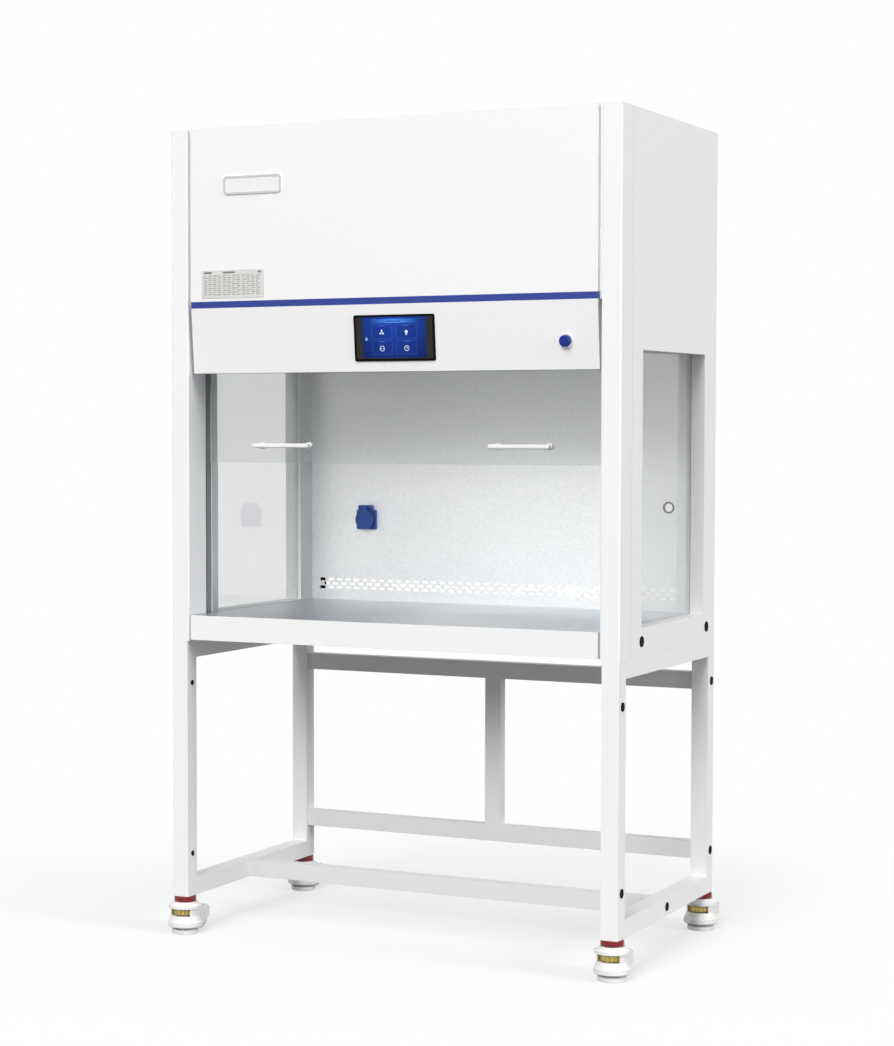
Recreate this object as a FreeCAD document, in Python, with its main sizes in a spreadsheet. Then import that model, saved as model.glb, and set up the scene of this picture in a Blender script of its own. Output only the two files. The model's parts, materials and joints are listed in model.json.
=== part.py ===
import FreeCAD, Part
import Sketcher
import os
import re

# Vertical laminar flow cabinet on a wheeled stand, in millimetres.
# The origin lies on the floor, in the middle of the whole cabinet's outline.
# X runs to the right seen from the front, Y runs from the front to the back, Z is up.

# Driving dimensions
sizes = {
    "cabinet_width": 1100,
    "cabinet_depth": 625,
    "cabinet_height": 1173,
    "stand_height": 685,
    "skin": 2,
    "fit_gap": 0.3,
    "running_gap": 0.05,
    # Stand
    "tube_width": 40,
    "tube_wall": 2,
    "caster_height": 88,
    "rail_depth": 30,
    "rear_rail_setback": 8,
    "upper_rail_drop": 118,
    "lower_rail_rise": 80,
    "cross_rail_front": 294,
    "end_plate": 6,
    "bolt_radius": 5,
    "bolt_reach": 12,
    "bolt_head_radius": 8.5,
    "bolt_head_height": 6.4,
    "plug_radius": 10,
    "plug_rim": 1.5,
    "plug_stem_radius": 7.7,
    "plug_stem": 6,
    "inner_plug_radius": 6,
    # Front posts and side walls
    "post_width": 45,
    "post_depth": 68,
    "post_lip": 10,
    "seam_gap": 0.8,
    "edge_round": 3,
    "lining_front": 106,
    "window_front": 133,
    "window_rear_margin": 80,
    "window_sill": 1.5,
    "window_top_drop": 5,
    "pane_inset": 32,
    "pane_thickness": 5,
    "side_plug_radius": 12,
    "side_plug_rise": 32,
    "side_plug_front": 134,
    "side_plug_rear_inset": 58,
    # Front panels
    "panel_gap": 8,
    "apron_gap": 4,
    "apron_lift": 3.6,
    "upper_panel_height": 393,
    "panel_return": 20,
    "stripe_height": 15,
    "hood_height": 148,
    "hood_recess": 14,
    "hood_depth": 60,
    "hood_ear": 12,
    "badge_inset": 87,
    "badge_width": 149,
    "badge_height": 42,
    "badge_drop": 111,
    "badge_round": 8,
    "badge_thickness": 2,
    "data_plate_inset": 29,
    "data_plate_width": 161.6,
    "data_plate_height": 64,
    "data_plate_rise": 7,
    "data_plate_thickness": 1,
    # Touch panel and push button, measured along the hood's slanted face
    "display_offset": 18.5,
    "display_width": 197,
    "display_height": 102,
    "display_rise": 74,
    "display_round": 4,
    "display_border": 5,
    "display_proud": 3,
    "display_case_width": 170,
    "display_case_height": 84,
    "display_case_depth": 26,
    "button_inset": 73.5,
    "button_rise": 61,
    "button_bezel_radius": 15,
    "button_bezel_height": 5,
    "button_cap_radius": 12.5,
    "button_cap_height": 15,
    "button_barrel_radius": 11,
    "button_barrel_depth": 24,
    "button_stem_radius": 5,
    "button_stem_depth": 14,
    # Sash and its counterbalance
    "sash_front": 80,
    "sash_thickness": 6,
    "sash_drop": 205,
    "sash_height": 567,
    "sash_engagement": 22,
    "guide_front": 69,
    "guide_rear": 104,
    "guide_width": 24,
    "guide_gap": 0.4,
    "guide_head": 63,
    "handle_inset": 210,
    "handle_rise": 40,
    "handle_length": 145,
    "handle_bar": 10,
    "handle_reach": 20,
    "handle_post_inset": 12,
    "handle_post_radius": 4,
    "handle_washer_radius": 8,
    "handle_washer": 2,
    "lug_width": 12,
    "lug_height": 8,
    "wire_inset": 18,
    "wire_radius": 1,
    "wire_pitch": 2.3,
    "pulley_radius": 24,
    "pulley_width": 9,
    "pulley_rim": 2,
    "pulley_drop": 33,
    "shaft_radius": 6,
    "slot_margin": 3,
    "weight_drop": 458,
    "weight_height": 410,
    "weight_width": 28,
    "weight_depth": 44,
    # Chamber
    "worktop_rise": 60.5,
    "rear_box_depth": 20,
    "vent_left_margin": 23.9,
    "vent_right_margin": 45,
    "vent_length": 15,
    "vent_height": 7.4,
    "vent_pitch": 23.7,
    "vent_row_pitch": 10.1,
    "vent_rise": 26.1,
    "chamber_drop": 508,
    "diffuser_rim": 24,
    "diffuser_slot_width": 9,
    "diffuser_slot_pitch": 30,
    "diffuser_margin": 24,
    "lamp_end_gap": 95,
    "lamp_front": 118,
    "lamp_batten_width": 36,
    "lamp_batten_height": 14,
    "lamp_tube_radius": 8,
    "lamp_tube_drop": 12,
    # Air system
    "filter_height": 69,
    "filter_side_gap": 5,
    "filter_frame": 18,
    "filter_recess": 4,
    "plenum_sheet": 2,
    "fan_radius": 150,
    "fan_length": 300,
    "fan_height": 198,
    "fan_inlet_radius": 95,
    "fan_neck_depth": 150,
    "impeller_radius": 132,
    "impeller_blade_depth": 24,
    "impeller_blade_thickness": 3,
    "impeller_width": 200,
    "impeller_disc": 4,
    "impeller_blades": 24,
    "impeller_hub_radius": 22,
    "impeller_hub_length": 40,
    "motor_radius": 58,
    "motor_length": 120,
    "motor_shaft_radius": 9,
    "motor_arm_width": 22,
    "motor_arm_thickness": 5,
    "intake_width": 420,
    "intake_rear_margin": 125,
    "intake_front": 200,
    "prefilter_height": 20,
    "prefilter_frame": 16,
    "prefilter_recess": 5,
    # Socket, cable grommet and mains inlet
    "socket_inset": 157,
    "socket_rise": 202.5,
    "socket_width": 54,
    "socket_flange_height": 49,
    "socket_flange": 6,
    "socket_round": 4,
    "socket_body_radius": 20,
    "socket_body_depth": 15,
    "socket_collar_radius": 22,
    "socket_collar": 8,
    "socket_bore_radius": 18,
    "lid_radius": 24,
    "lid_thickness": 5,
    "lid_hinge_rise": 31,
    "lid_hinge_radius": 5,
    "lid_hinge_length": 36,
    "lid_knuckle": 16,
    "lid_pin_radius": 1.5,
    "grommet_inset": 65,
    "grommet_rise": 244.5,
    "grommet_radius": 14,
    "grommet_waist_radius": 12,
    "grommet_bore_radius": 10,
    "grommet_flange": 3,
    "inlet_inset": 105,
    "inlet_rise": 70,
    "inlet_width": 58,
    "inlet_tall": 48,
    "inlet_flange": 3,
    "inlet_case_width": 48,
    "inlet_case_tall": 28,
    "inlet_case_depth": 16,
    "inlet_cavity": 14,
    "inlet_pin_pitch": 12,
    # Levelling casters
    "collar_radius": 25.5,
    "collar_height": 13,
    "collar_stem_radius": 15,
    "collar_stem_height": 22,
    "swivel_pin_radius": 5,
    "swivel_pin_height": 14,
    "plate_radius": 38.5,
    "plate_bottom": 60,
    "plate_edge": 6,
    "plate_rise": 11,
    "plate_shoulder_radius": 28,
    "band_radius": 40,
    "band_bottom": 16,
    "band_top": 30,
    "band_bulge": 2,
    "neck_radius": 33,
    "neck_top": 42,
    "mouth_width": 50,
    "foot_pocket_radius": 33,
    "foot_pocket_top": 25,
    "wheel_trail": 57,
    "wheel_radius": 25,
    "wheel_width": 26,
    "wheel_bottom": 2,
    "wheel_axle_radius": 4,
    "fender_gap": 3,
    "fender_thickness": 3,
    "fork_thickness": 5,
    "fork_gap": 1,
    "fork_boss_radius": 10,
    "thumb_radius": 27.5,
    "thumb_bottom": 45,
    "thumb_height": 11,
    "thumb_notch_radius": 2.2,
    "thumb_notches": 18,
    "foot_radius": 31,
    "foot_height": 14,
    "foot_rim": 9,
    "foot_hub_radius": 14,
    "spindle_radius": 6,
    "spindle_top": 58,
    "spindle_bore_top": 70,
}

# Places worked out from the driving dimensions
places = {
    "half_width": "cabinet_width / 2",
    "post_inner": "half_width - post_width",
    "leg_reach": "cabinet_depth - tube_width",
    "front": "-(leg_reach + wheel_trail + wheel_radius - band_radius) / 2 - tube_width / 2",
    "rear": "front + cabinet_depth",
    "front_leg": "front + tube_width / 2",
    "rear_leg": "rear - tube_width / 2",
    "leg_inner": "half_width - tube_width",
    "top": "stand_height + cabinet_height",
    "stripe_top": "top - upper_panel_height",
    "hood_top": "stripe_top - stripe_height",
    "hood_bottom": "hood_top - hood_height",
    "upper_rail_bottom": "stand_height - upper_rail_drop",
    "lower_rail_bottom": "caster_height + lower_rail_rise",
    "worktop_height": "stand_height + worktop_rise",
    "chamber_top": "top - chamber_drop",
    "window_bottom": "worktop_height + window_sill",
    "window_height": "chamber_top - window_top_drop - window_bottom",
    "window_length": "cabinet_depth - window_front - window_rear_margin",
    "side_plug_rear": "cabinet_depth - side_plug_rear_inset",
    "panel_reach": "post_inner - panel_gap",
    "apron_reach": "post_inner - apron_gap",
    "badge_left": "panel_reach - badge_inset",
    "data_plate_left": "panel_reach - data_plate_inset",
    "button_offset": "panel_reach - button_inset",
    "slant": "atan(hood_recess / hood_height)",
    "pan_bottom": "stand_height + apron_lift",
    "rail_front": "rear - tube_width + rear_rail_setback",
    "rail_rear": "rail_front + rail_depth",
    "back_front": "rear - rear_box_depth",
    "pane_outer": "half_width - pane_inset",
    "vent_left": "post_inner - vent_left_margin",
    "vent_bottom": "worktop_height + vent_rise",
    "vent_span": "2 * post_inner - vent_left_margin - vent_right_margin - vent_length",
    "vent_columns": "floor((vent_span) / vent_pitch) + 1",
    "socket_offset": "post_inner - socket_inset",
    "socket_height": "worktop_height + socket_rise",
    "grommet_offset": "post_inner - grommet_inset",
    "grommet_height": "worktop_height + grommet_rise",
    "inlet_offset": "post_inner - inlet_inset",
    "inlet_height": "chamber_top + inlet_rise",
    "handle_offset": "post_inner - handle_inset",
    "sash_plane": "front + sash_front",
    "sash_bottom": "hood_bottom - sash_drop",
    "sash_reach": "post_inner + sash_engagement",
    "sash_top": "sash_bottom + sash_height",
    "wire_reach": "post_inner + wire_inset",
    "pulley_height": "top - pulley_drop",
    "pulley_plane": "sash_plane + sash_thickness / 2 - pulley_radius",
    "weight_plane": "pulley_plane - pulley_radius",
    "weight_top": "top - weight_drop",
    "diffuser_span": "2 * (post_inner - diffuser_margin) - diffuser_slot_width",
    "diffuser_slots": "floor((diffuser_span) / diffuser_slot_pitch) + 1",
    "lamp_length": "2 * (post_inner - lamp_end_gap)",
    "intake_depth": "cabinet_depth - intake_front - intake_rear_margin",
    "filter_bottom": "chamber_top + diffuser_rim",
    "filter_top": "filter_bottom + filter_height",
    "air_front": "front + lining_front",
    "fan_plane": "(air_front + back_front) / 2",
    "fan_axis": "filter_top + fan_height",
    "impeller_start": "-impeller_width / 2 - 2 * impeller_disc",
    "motor_start": "fan_length / 2 + motor_arm_thickness - motor_length",
    "wheel_axis": "wheel_bottom + wheel_radius",
    "fork_inner": "wheel_width / 2 + fork_gap",
    "fork_outer": "fork_inner + fork_thickness",
    "lid_hinge_plane": "back_front - socket_flange - lid_hinge_radius",
    "lid_hinge_height": "socket_height + lid_hinge_rise",
}

document = FreeCAD.newDocument("laminar_flow_cabinet")
sheet = document.addObject("Spreadsheet::Sheet", "sizes")
for row, (alias, number) in enumerate(sizes.items(), start=1):
    sheet.set(f"A{row}", alias)
    sheet.set(f"B{row}", str(number))
    sheet.setAlias(f"B{row}", alias)
document.recompute()

word = re.compile(r"[a-z][a-z0-9_]*")
turns = {
    "x": (FreeCAD.Vector(0, 1, 0), 90),
    "y": (FreeCAD.Vector(1, 0, 0), -90),
    "z": (FreeCAD.Vector(0, 0, 1), 0),
}
sides = {"left": -1, "right": 1}
nodes = []


# A size or place written with the names above, as a formula on the sheet
def formula(text):
    def swap(match):
        name = match.group(0)
        if name in places:
            return "(" + formula(places[name]) + ")"
        if name in sizes:
            return "sizes." + name
        return name
    return word.sub(swap, str(text))


def bind(piece, **formulas):
    for name, text in formulas.items():
        piece.setExpression(name, formula(text))


# The piece's own Z axis is turned to lie along X, Y or Z, then the piece is moved to its place
def place(piece, x, y, z, axis="z"):
    direction, angle = turns[axis]
    piece.Placement = FreeCAD.Placement(FreeCAD.Vector(), FreeCAD.Rotation(direction, angle))
    for name, text in zip("xyz", (x, y, z)):
        piece.setExpression(f"Placement.Base.{name}", formula(text))
    return piece


# The piece's own origin is put on the lower edge of the hood's slanted face, and leans with it
def lean(piece):
    piece.Placement = FreeCAD.Placement(FreeCAD.Vector(), FreeCAD.Rotation(FreeCAD.Vector(1, 0, 0), 1))
    piece.setExpression("Placement.Base.y", formula("front + hood_recess"))
    piece.setExpression("Placement.Base.z", formula("hood_bottom"))
    piece.setExpression("Placement.Rotation.Angle", formula("slant"))
    return piece


# A block between two planes on each axis
def block(x0, x1, y0, y1, z0, z1):
    piece = document.addObject("Part::Box", "block")
    bind(piece, Length=f"({x1}) - ({x0})", Width=f"({y1}) - ({y0})", Height=f"({z1}) - ({z0})")
    return place(piece, x0, y0, z0)


# A round bar that starts at a point and runs along an axis
def rod(axis, x, y, z, radius, length):
    piece = document.addObject("Part::Cylinder", "rod")
    bind(piece, Radius=radius, Height=length)
    return place(piece, x, y, z, axis)


def join(pieces):
    if len(pieces) == 1:
        return pieces[0]
    piece = document.addObject("Part::MultiFuse", "join")
    piece.Shapes = pieces
    piece.Refine = True
    return piece


def cut(base, tools):
    piece = document.addObject("Part::Cut", "cut")
    piece.Base = base
    piece.Tool = join(tools)
    piece.Refine = True
    return piece


# Separate solids that share one node
def group(pieces):
    piece = document.addObject("Part::Compound", "group")
    piece.Links = pieces
    return piece


def node(name, piece):
    piece.Label = name
    nodes.append(piece)
    return piece


# The X range between two distances from the middle plane, on one side of it
def across(side, near, far):
    if sides[side] > 0:
        return near, far
    return f"-({far})", f"-({near})"


# A distance from the middle plane, on one side of it
def aside(side, distance):
    return distance if sides[side] > 0 else f"-({distance})"


def new_body():
    return document.addObject("PartDesign::Body", "body")


def new_sketch(body, plane):
    sketch = body.newObject("Sketcher::SketchObject", "sketch")
    base = [feature for feature in body.Origin.OriginFeatures if feature.Role == plane]
    sketch.AttachmentSupport = [(base[0], "")]
    sketch.MapMode = "FlatFace"
    return sketch


# One point of a sketch, held at its distances from the sketch's origin
def hold(sketch, edge, point, u, v):
    for kind, text, line in (("DistanceX", u, -2), ("DistanceY", v, -1)):
        if text == "0":
            sketch.addConstraint(Sketcher.Constraint("PointOnObject", edge, point, line))
        else:
            index = sketch.addConstraint(Sketcher.Constraint(kind, -1, 1, edge, point, 1.0))
            sketch.setExpression(f"Constraints[{index}]", formula(text))


# A closed outline of straight lines through the given points
def outline(sketch, points):
    first = sketch.GeometryCount
    count = len(points)
    start = [FreeCAD.Vector(number + 1, (number + 1) ** 2, 0) for number in range(count)]
    for number in range(count):
        sketch.addGeometry(Part.LineSegment(start[number], start[(number + 1) % count]), False)
    for number in range(count):
        after = first + (number + 1) % count
        sketch.addConstraint(Sketcher.Constraint("Coincident", first + number, 2, after, 1))
    for number, (u, v) in enumerate(points):
        hold(sketch, first + number, 1, u, v)


def rectangle(sketch, u0, u1, v0, v1):
    outline(sketch, [(u0, v0), (u1, v0), (u1, v1), (u0, v1)])


def circle(sketch, u, v, radius):
    middle = FreeCAD.Vector(1, 1, 0)
    edge = sketch.addGeometry(Part.Circle(middle, FreeCAD.Vector(0, 0, 1), 1), False)
    hold(sketch, edge, 3, u, v)
    index = sketch.addConstraint(Sketcher.Constraint("Radius", edge, 1.0))
    sketch.setExpression(f"Constraints[{index}]", formula(radius))


def pad(body, sketch, length, side_type="One side"):
    feature = body.newObject("PartDesign::Pad", "pad")
    feature.Profile = sketch
    feature.SideType = side_type
    bind(feature, Length=length)
    return feature


# A pocket right through the body
def pierce(body, sketch):
    feature = body.newObject("PartDesign::Pocket", "pocket")
    feature.Profile = sketch
    feature.SideType = "Symmetric"
    bind(feature, Length="4 * cabinet_height")
    return feature


# A turned piece: its half outline holds (radius, height) points
def turned(points):
    body = new_body()
    sketch = new_sketch(body, "XZ_Plane")
    outline(sketch, points)
    feature = body.newObject("PartDesign::Revolution", "turning")
    feature.Profile = sketch
    feature.ReferenceAxis = (sketch, ["V_Axis"])
    feature.Angle = 360
    return body


def soften(body, chosen, radius):
    document.recompute()
    before = body.Tip
    names = [f"Edge{number}" for number, edge in enumerate(before.Shape.Edges, 1) if chosen(edge)]
    feature = body.newObject("PartDesign::Fillet", "fillet")
    feature.Base = (before, names)
    bind(feature, Radius=radius)


def along(edge, axis):
    ends = [vertex.Point for vertex in edge.Vertexes]
    return len(ends) == 2 and abs(abs((ends[1] - ends[0]).normalize().dot(axis)) - 1) < 1e-6


# A flat plate with rounded corners, its face in the local XY plane and its thickness along local Z
def rounded_plate(u0, u1, v0, v1, thickness, radius):
    body = new_body()
    sketch = new_sketch(body, "XY_Plane")
    rectangle(sketch, u0, u1, v0, v1)
    pad(body, sketch, thickness)
    soften(body, lambda edge: along(edge, FreeCAD.Vector(0, 0, 1)), radius)
    return body


# Stand: two welded side frames of square tube, open inside from rail to leg
def side_frame(side):
    x = across(side, "leg_inner", "half_width")
    hollow = across(side, "leg_inner + tube_wall", "half_width - tube_wall")
    rail_ends = ("front", "rear")
    hollow_ends = ("front + tube_wall", "rear - tube_wall")
    solids = []
    spaces = []
    for y0, y1 in (("front", "front + tube_width"), ("rear - tube_width", "rear")):
        solids.append(block(*x, y0, y1, "caster_height", "stand_height"))
        spaces.append(block(*hollow, f"{y0} + tube_wall", f"{y1} - tube_wall",
                            "caster_height", "stand_height - tube_wall"))
    for bottom in ("caster_height", "stand_height - tube_width"):
        solids.append(block(*x, *rail_ends, bottom, f"{bottom} + tube_width"))
        spaces.append(block(*hollow, *hollow_ends, f"{bottom} + tube_wall",
                            f"{bottom} + tube_width - tube_wall"))
    holes = []
    wall = across(side, "leg_inner", "leg_inner + tube_wall")
    skin = across(side, "half_width - tube_wall", "half_width")
    for y, z, bolted in bolt_places():
        holes.append(rod("x", skin[0], y, z, "plug_stem_radius + running_gap", "tube_wall"))
        holes.append(rod("x", wall[0], y, z, "bolt_radius + running_gap", "tube_wall"))
    node(f"stand_side_frame_{side}", cut(join(solids), spaces + holes))


# Where the frame's plugs sit, and whether a bolt lies behind the plug
def bolt_places():
    rail_middle = "(rail_front + rail_rear) / 2"
    upper = "upper_rail_bottom + tube_width / 2"
    lower = "lower_rail_bottom + tube_width / 2"
    return [
        ("front_leg", upper, False),
        ("front_leg", lower, False),
        (rail_middle, upper, True),
        (rail_middle, lower, True),
        ("front + cross_rail_front + rail_depth / 2", "caster_height + tube_width / 2", True),
    ]


# Hollow rail between the side frames, its ends closed by threaded plates
def cross_rail(y0, y1, z0):
    z1 = f"{z0} + tube_width"
    solid = block("-leg_inner", "leg_inner", y0, y1, z0, z1)
    space = block("-leg_inner + end_plate", "leg_inner - end_plate", f"{y0} + tube_wall",
                  f"{y1} - tube_wall", f"{z0} + tube_wall", f"{z1} - tube_wall")
    threads = []
    middle = f"(({y0}) + ({y1})) / 2"
    height = f"{z0} + tube_width / 2"
    for start in ("-leg_inner", "leg_inner - end_plate"):
        threads.append(rod("x", start, middle, height, "bolt_radius + running_gap", "end_plate"))
    return solid, [space] + threads


def rear_frame():
    solids = []
    spaces = []
    for bottom in ("upper_rail_bottom", "lower_rail_bottom"):
        solid, space = cross_rail("rail_front", "rail_rear", bottom)
        solids.append(solid)
        spaces += space
    half = "tube_width / 2"
    solids.append(block(f"-{half}", half, "rail_front", "rail_rear",
                        "lower_rail_bottom + tube_width", "upper_rail_bottom"))
    spaces.append(block(f"-{half} + tube_wall", f"{half} - tube_wall", "rail_front + tube_wall",
                        "rail_rear - tube_wall", "lower_rail_bottom + tube_width - tube_wall",
                        "upper_rail_bottom + tube_wall"))
    node("rear_frame", cut(join(solids), spaces))


def lower_cross_rail():
    y0 = "front + cross_rail_front"
    solid, spaces = cross_rail(y0, f"{y0} + rail_depth", "caster_height")
    node("lower_cross_rail", cut(solid, spaces))


def frame_bolts():
    bolts = []
    for side in sides:
        for y, z, bolted in bolt_places():
            if bolted:
                head = across(side, "leg_inner + tube_wall", "leg_inner + tube_wall + bolt_head_height")
                shank = across(side, "leg_inner + tube_wall - bolt_reach", "leg_inner + tube_wall")
                bolts.append(join([
                    rod("x", head[0], y, z, "bolt_head_radius", "bolt_head_height"),
                    rod("x", shank[0], y, z, "bolt_radius", "bolt_reach"),
                ]))
    node("frame_bolts", group(bolts))


# Black plugs in the legs, the lower rails and the side walls; a hole with no bolt is plugged on both faces
def hole_plugs():
    plugs = []
    cabinet_plugs = [(f"front + {y}", "stand_height + side_plug_rise", "side_plug_radius", "skin")
                     for y in ("side_plug_front", "side_plug_rear")]
    frame_plugs = [(y, z, "plug_radius", "tube_wall") for y, z, bolted in bolt_places()]
    for side in sides:
        cap = across(side, "half_width", "half_width + plug_rim")
        for y, z, radius, wall in frame_plugs + cabinet_plugs:
            stem = across(side, f"half_width - {wall} - plug_stem", "half_width")
            plugs.append(join([
                rod("x", cap[0], y, z, radius, "plug_rim"),
                rod("x", stem[0], y, z, "plug_stem_radius", f"{wall} + plug_stem"),
            ]))
        inner_cap = across(side, "leg_inner - plug_rim", "leg_inner")
        inner_stem = across(side, "leg_inner", "leg_inner + tube_wall + plug_stem")
        for y, z, bolted in bolt_places():
            if not bolted:
                plugs.append(join([
                    rod("x", inner_cap[0], y, z, "inner_plug_radius", "plug_rim"),
                    rod("x", inner_stem[0], y, z, "bolt_radius", "tube_wall + plug_stem"),
                ]))
    node("hole_plugs", group(plugs))


# Hollow front post with a lip behind it, a slot for the pulley and a bearing hole for the shaft
def front_post(side):
    x0, x1 = across(side, "post_inner", "half_width")
    body = new_body()
    sketch = new_sketch(body, "XY_Plane")
    rectangle(sketch, x0, x1, "front", "front + post_depth")
    pad(body, sketch, "cabinet_height")
    soften(body, lambda edge: along(edge, FreeCAD.Vector(0, 0, 1)) and is_foremost(body, edge),
           "edge_round")
    place(body, "0", "0", "stand_height")
    inner = across(side, "post_inner + skin", "half_width - skin")
    hollow = block(*inner, "front + skin", "front + post_depth - skin",
                   "stand_height + skin", "top - skin")
    lip = block(*across(side, "post_inner", "post_inner + skin"), "front + post_depth",
                "front + post_depth + post_lip", "stand_height", "top")
    slot = block(*across(side, "wire_reach - pulley_width / 2 - slot_margin",
                         "wire_reach + pulley_width / 2 + slot_margin"),
                 "front + post_depth - skin", "front + post_depth",
                 "pulley_height - pulley_radius - pulley_rim - slot_margin",
                 "pulley_height + pulley_radius + pulley_rim + slot_margin")
    bearing = rod("x", across(side, "post_inner", "post_inner + skin")[0], "pulley_plane",
                  "pulley_height", "shaft_radius + running_gap", "skin")
    node(f"post_front_{side}", cut(join([body, lip]), [hollow, slot, bearing]))


def is_foremost(body, edge):
    return edge.BoundBox.YMax < body.Shape.BoundBox.YMin + 0.001


# Double-skinned side wall: outer skin, lining, the reveal round its window, and a lid over the sash's channel
def side_wall(side):
    tall = ("stand_height", "top")
    box = block(*across(side, "post_inner", "half_width"), "air_front", "rear", *tall)
    skin = block(*across(side, "half_width - skin", "half_width"), "front + post_depth + seam_gap",
                 "air_front", *tall)
    lid = block(*across(side, "post_inner + skin + fit_gap", "half_width"), "front + post_depth + seam_gap",
                "air_front", "top - skin", "top")
    window_y = ("front + window_front", "front + window_front + window_length")
    window_z = ("window_bottom", "window_bottom + window_height")
    reveal = block(*across(side, "post_inner", "half_width"), f"{window_y[0]} - skin",
                   f"{window_y[1]} + skin", f"{window_z[0]} - window_sill", f"{window_z[1]} + skin")
    hollow = block(*across(side, "post_inner + skin", "half_width - skin"), "air_front + skin",
                   "rear - skin", "stand_height + skin", "top - skin")
    opening = block(*across(side, "post_inner", "half_width"), *window_y, *window_z)
    holes = []
    for y in ("side_plug_front", "side_plug_rear"):
        holes.append(rod("x", across(side, "half_width - skin", "half_width")[0], f"front + {y}",
                         "stand_height + side_plug_rise", "plug_stem_radius + running_gap", "skin"))
    node(f"side_wall_{side}", cut(join([box, skin, lid]), [cut(hollow, [reveal]), opening] + holes))


def side_windows():
    panes = []
    for side in sides:
        panes.append(block(*across(side, "pane_outer - pane_thickness", "pane_outer"),
                           "front + window_front", "front + window_front + window_length",
                           "window_bottom", "window_bottom + window_height"))
    node("side_windows", group(panes))


# A folded sheet tray: a face at the front and returns on all four sides
def front_tray(reach, bottom, height):
    solid = block(f"-{reach}", reach, "front", "front + panel_return", bottom, height)
    space = block(f"-{reach} + skin", f"{reach} - skin", "front + skin", "front + panel_return",
                  f"{bottom} + skin", f"{height} - skin")
    return cut(solid, [space])


def front_panels():
    node("front_upper_panel", front_tray("panel_reach", "stripe_top", "top"))
    node("blue_stripe", front_tray("panel_reach", "hood_top", "stripe_top"))
    badge = rounded_plate("-badge_left", "-badge_left + badge_width", "-badge_height", "0",
                          "badge_thickness", "badge_round")
    node("badge_plate", upright(badge, "top - badge_drop"))
    data = rounded_plate("-data_plate_left", "-data_plate_left + data_plate_width", "0",
                         "data_plate_height", "data_plate_thickness", "skin")
    node("data_plate", upright(data, "stripe_top + data_plate_rise"))


# Stands a plate up against the front face, its thickness towards the viewer
def upright(plate, height):
    plate.Placement = FreeCAD.Placement(FreeCAD.Vector(), FreeCAD.Rotation(FreeCAD.Vector(1, 0, 0), 90))
    bind(plate, **{"Placement.Base.y": "front", "Placement.Base.z": height})
    return plate


# Slanted control hood, a folded shell open at the back, with ears that reach the posts
def control_hood():
    body = new_body()
    section = new_sketch(body, "YZ_Plane")
    outline(section, [("front", "hood_top"), ("front + hood_recess", "hood_bottom"),
                      ("front + hood_depth", "hood_bottom"), ("front + hood_depth", "hood_top")])
    pad(body, section, "2 * panel_reach", "Symmetric")
    inside = new_sketch(body, "YZ_Plane")
    outline(inside, [("front + skin", "hood_top - skin"),
                     ("front + hood_recess + skin", "hood_bottom + skin"),
                     ("front + 2 * hood_depth", "hood_bottom + skin"),
                     ("front + 2 * hood_depth", "hood_top - skin")])
    pocket = body.newObject("PartDesign::Pocket", "pocket")
    pocket.Profile = inside
    pocket.SideType = "Symmetric"
    bind(pocket, Length="2 * panel_reach - 2 * skin")
    ears = []
    for side in sides:
        ears.append(block(*across(side, "panel_reach", "post_inner"), "front + hood_depth - hood_ear",
                          "front + hood_depth", "hood_bottom + hood_ear", "hood_top - hood_ear"))
    window = block("display_offset - display_case_width / 2", "display_offset + display_case_width / 2",
                   "-hood_recess", "hood_recess", "display_rise - display_case_height / 2",
                   "display_rise + display_case_height / 2")
    hole = rod("y", "button_offset", "-hood_recess", "button_rise",
               "button_barrel_radius + running_gap", "2 * hood_recess")
    node("control_hood", cut(join([body] + ears), [lean(join([window, hole]))]))


# A rounded slab on the slanted face: distances go across, up the face, and out of it
def slanted_slab(half_across, half_up, back, thickness, radius):
    body = new_body()
    sketch = new_sketch(body, "XZ_Plane")
    rectangle(sketch, f"display_offset - {half_across}", f"display_offset + {half_across}",
              f"display_rise - {half_up}", f"display_rise + {half_up}")
    pad(body, sketch, thickness)
    soften(body, lambda edge: along(edge, FreeCAD.Vector(0, 1, 0)), radius)
    place(body, "0", back, "0")
    return body


def touch_panel():
    frame = slanted_slab("display_width / 2", "display_height / 2", "0", "display_proud",
                         "display_round")
    case = block("display_offset - display_case_width / 2 + fit_gap",
                 "display_offset + display_case_width / 2 - fit_gap", "-skin / 2", "display_case_depth",
                 "display_rise - display_case_height / 2 + fit_gap",
                 "display_rise + display_case_height / 2 - fit_gap")
    seat = block("display_offset - display_width / 2 + display_border",
                 "display_offset + display_width / 2 - display_border", "-2 * display_proud", "-skin / 2",
                 "display_rise - display_height / 2 + display_border",
                 "display_rise + display_height / 2 - display_border")
    node("touch_panel_bezel", lean(cut(join([frame, case]), [seat])))
    glass = block("display_offset - display_width / 2 + display_border",
                  "display_offset + display_width / 2 - display_border",
                  "-display_proud + skin / 4", "-skin / 2",
                  "display_rise - display_height / 2 + display_border",
                  "display_rise + display_height / 2 - display_border")
    node("touch_display", lean(group([glass])))


def push_button():
    bezel = turned([("button_stem_radius + fit_gap", "-button_barrel_depth"),
                    ("button_barrel_radius", "-button_barrel_depth"),
                    ("button_barrel_radius", "0"), ("button_bezel_radius", "0"),
                    ("button_bezel_radius", "button_bezel_height - skin"),
                    ("button_bezel_radius - skin", "button_bezel_height"),
                    ("button_cap_radius + fit_gap", "button_bezel_height"),
                    ("button_cap_radius + fit_gap", "skin / 2"),
                    ("button_stem_radius + fit_gap", "skin / 2")])
    cap = turned([("0", "-button_stem_depth"), ("button_stem_radius", "-button_stem_depth"),
                  ("button_stem_radius", "button_bezel_height"),
                  ("button_cap_radius", "button_bezel_height"),
                  ("button_cap_radius", "button_cap_height - skin"),
                  ("button_cap_radius - skin", "button_cap_height"), ("0", "button_cap_height")])
    for name, piece in (("button_bezel", bezel), ("button_cap", cap)):
        node(name, button_seat(piece))


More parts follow.
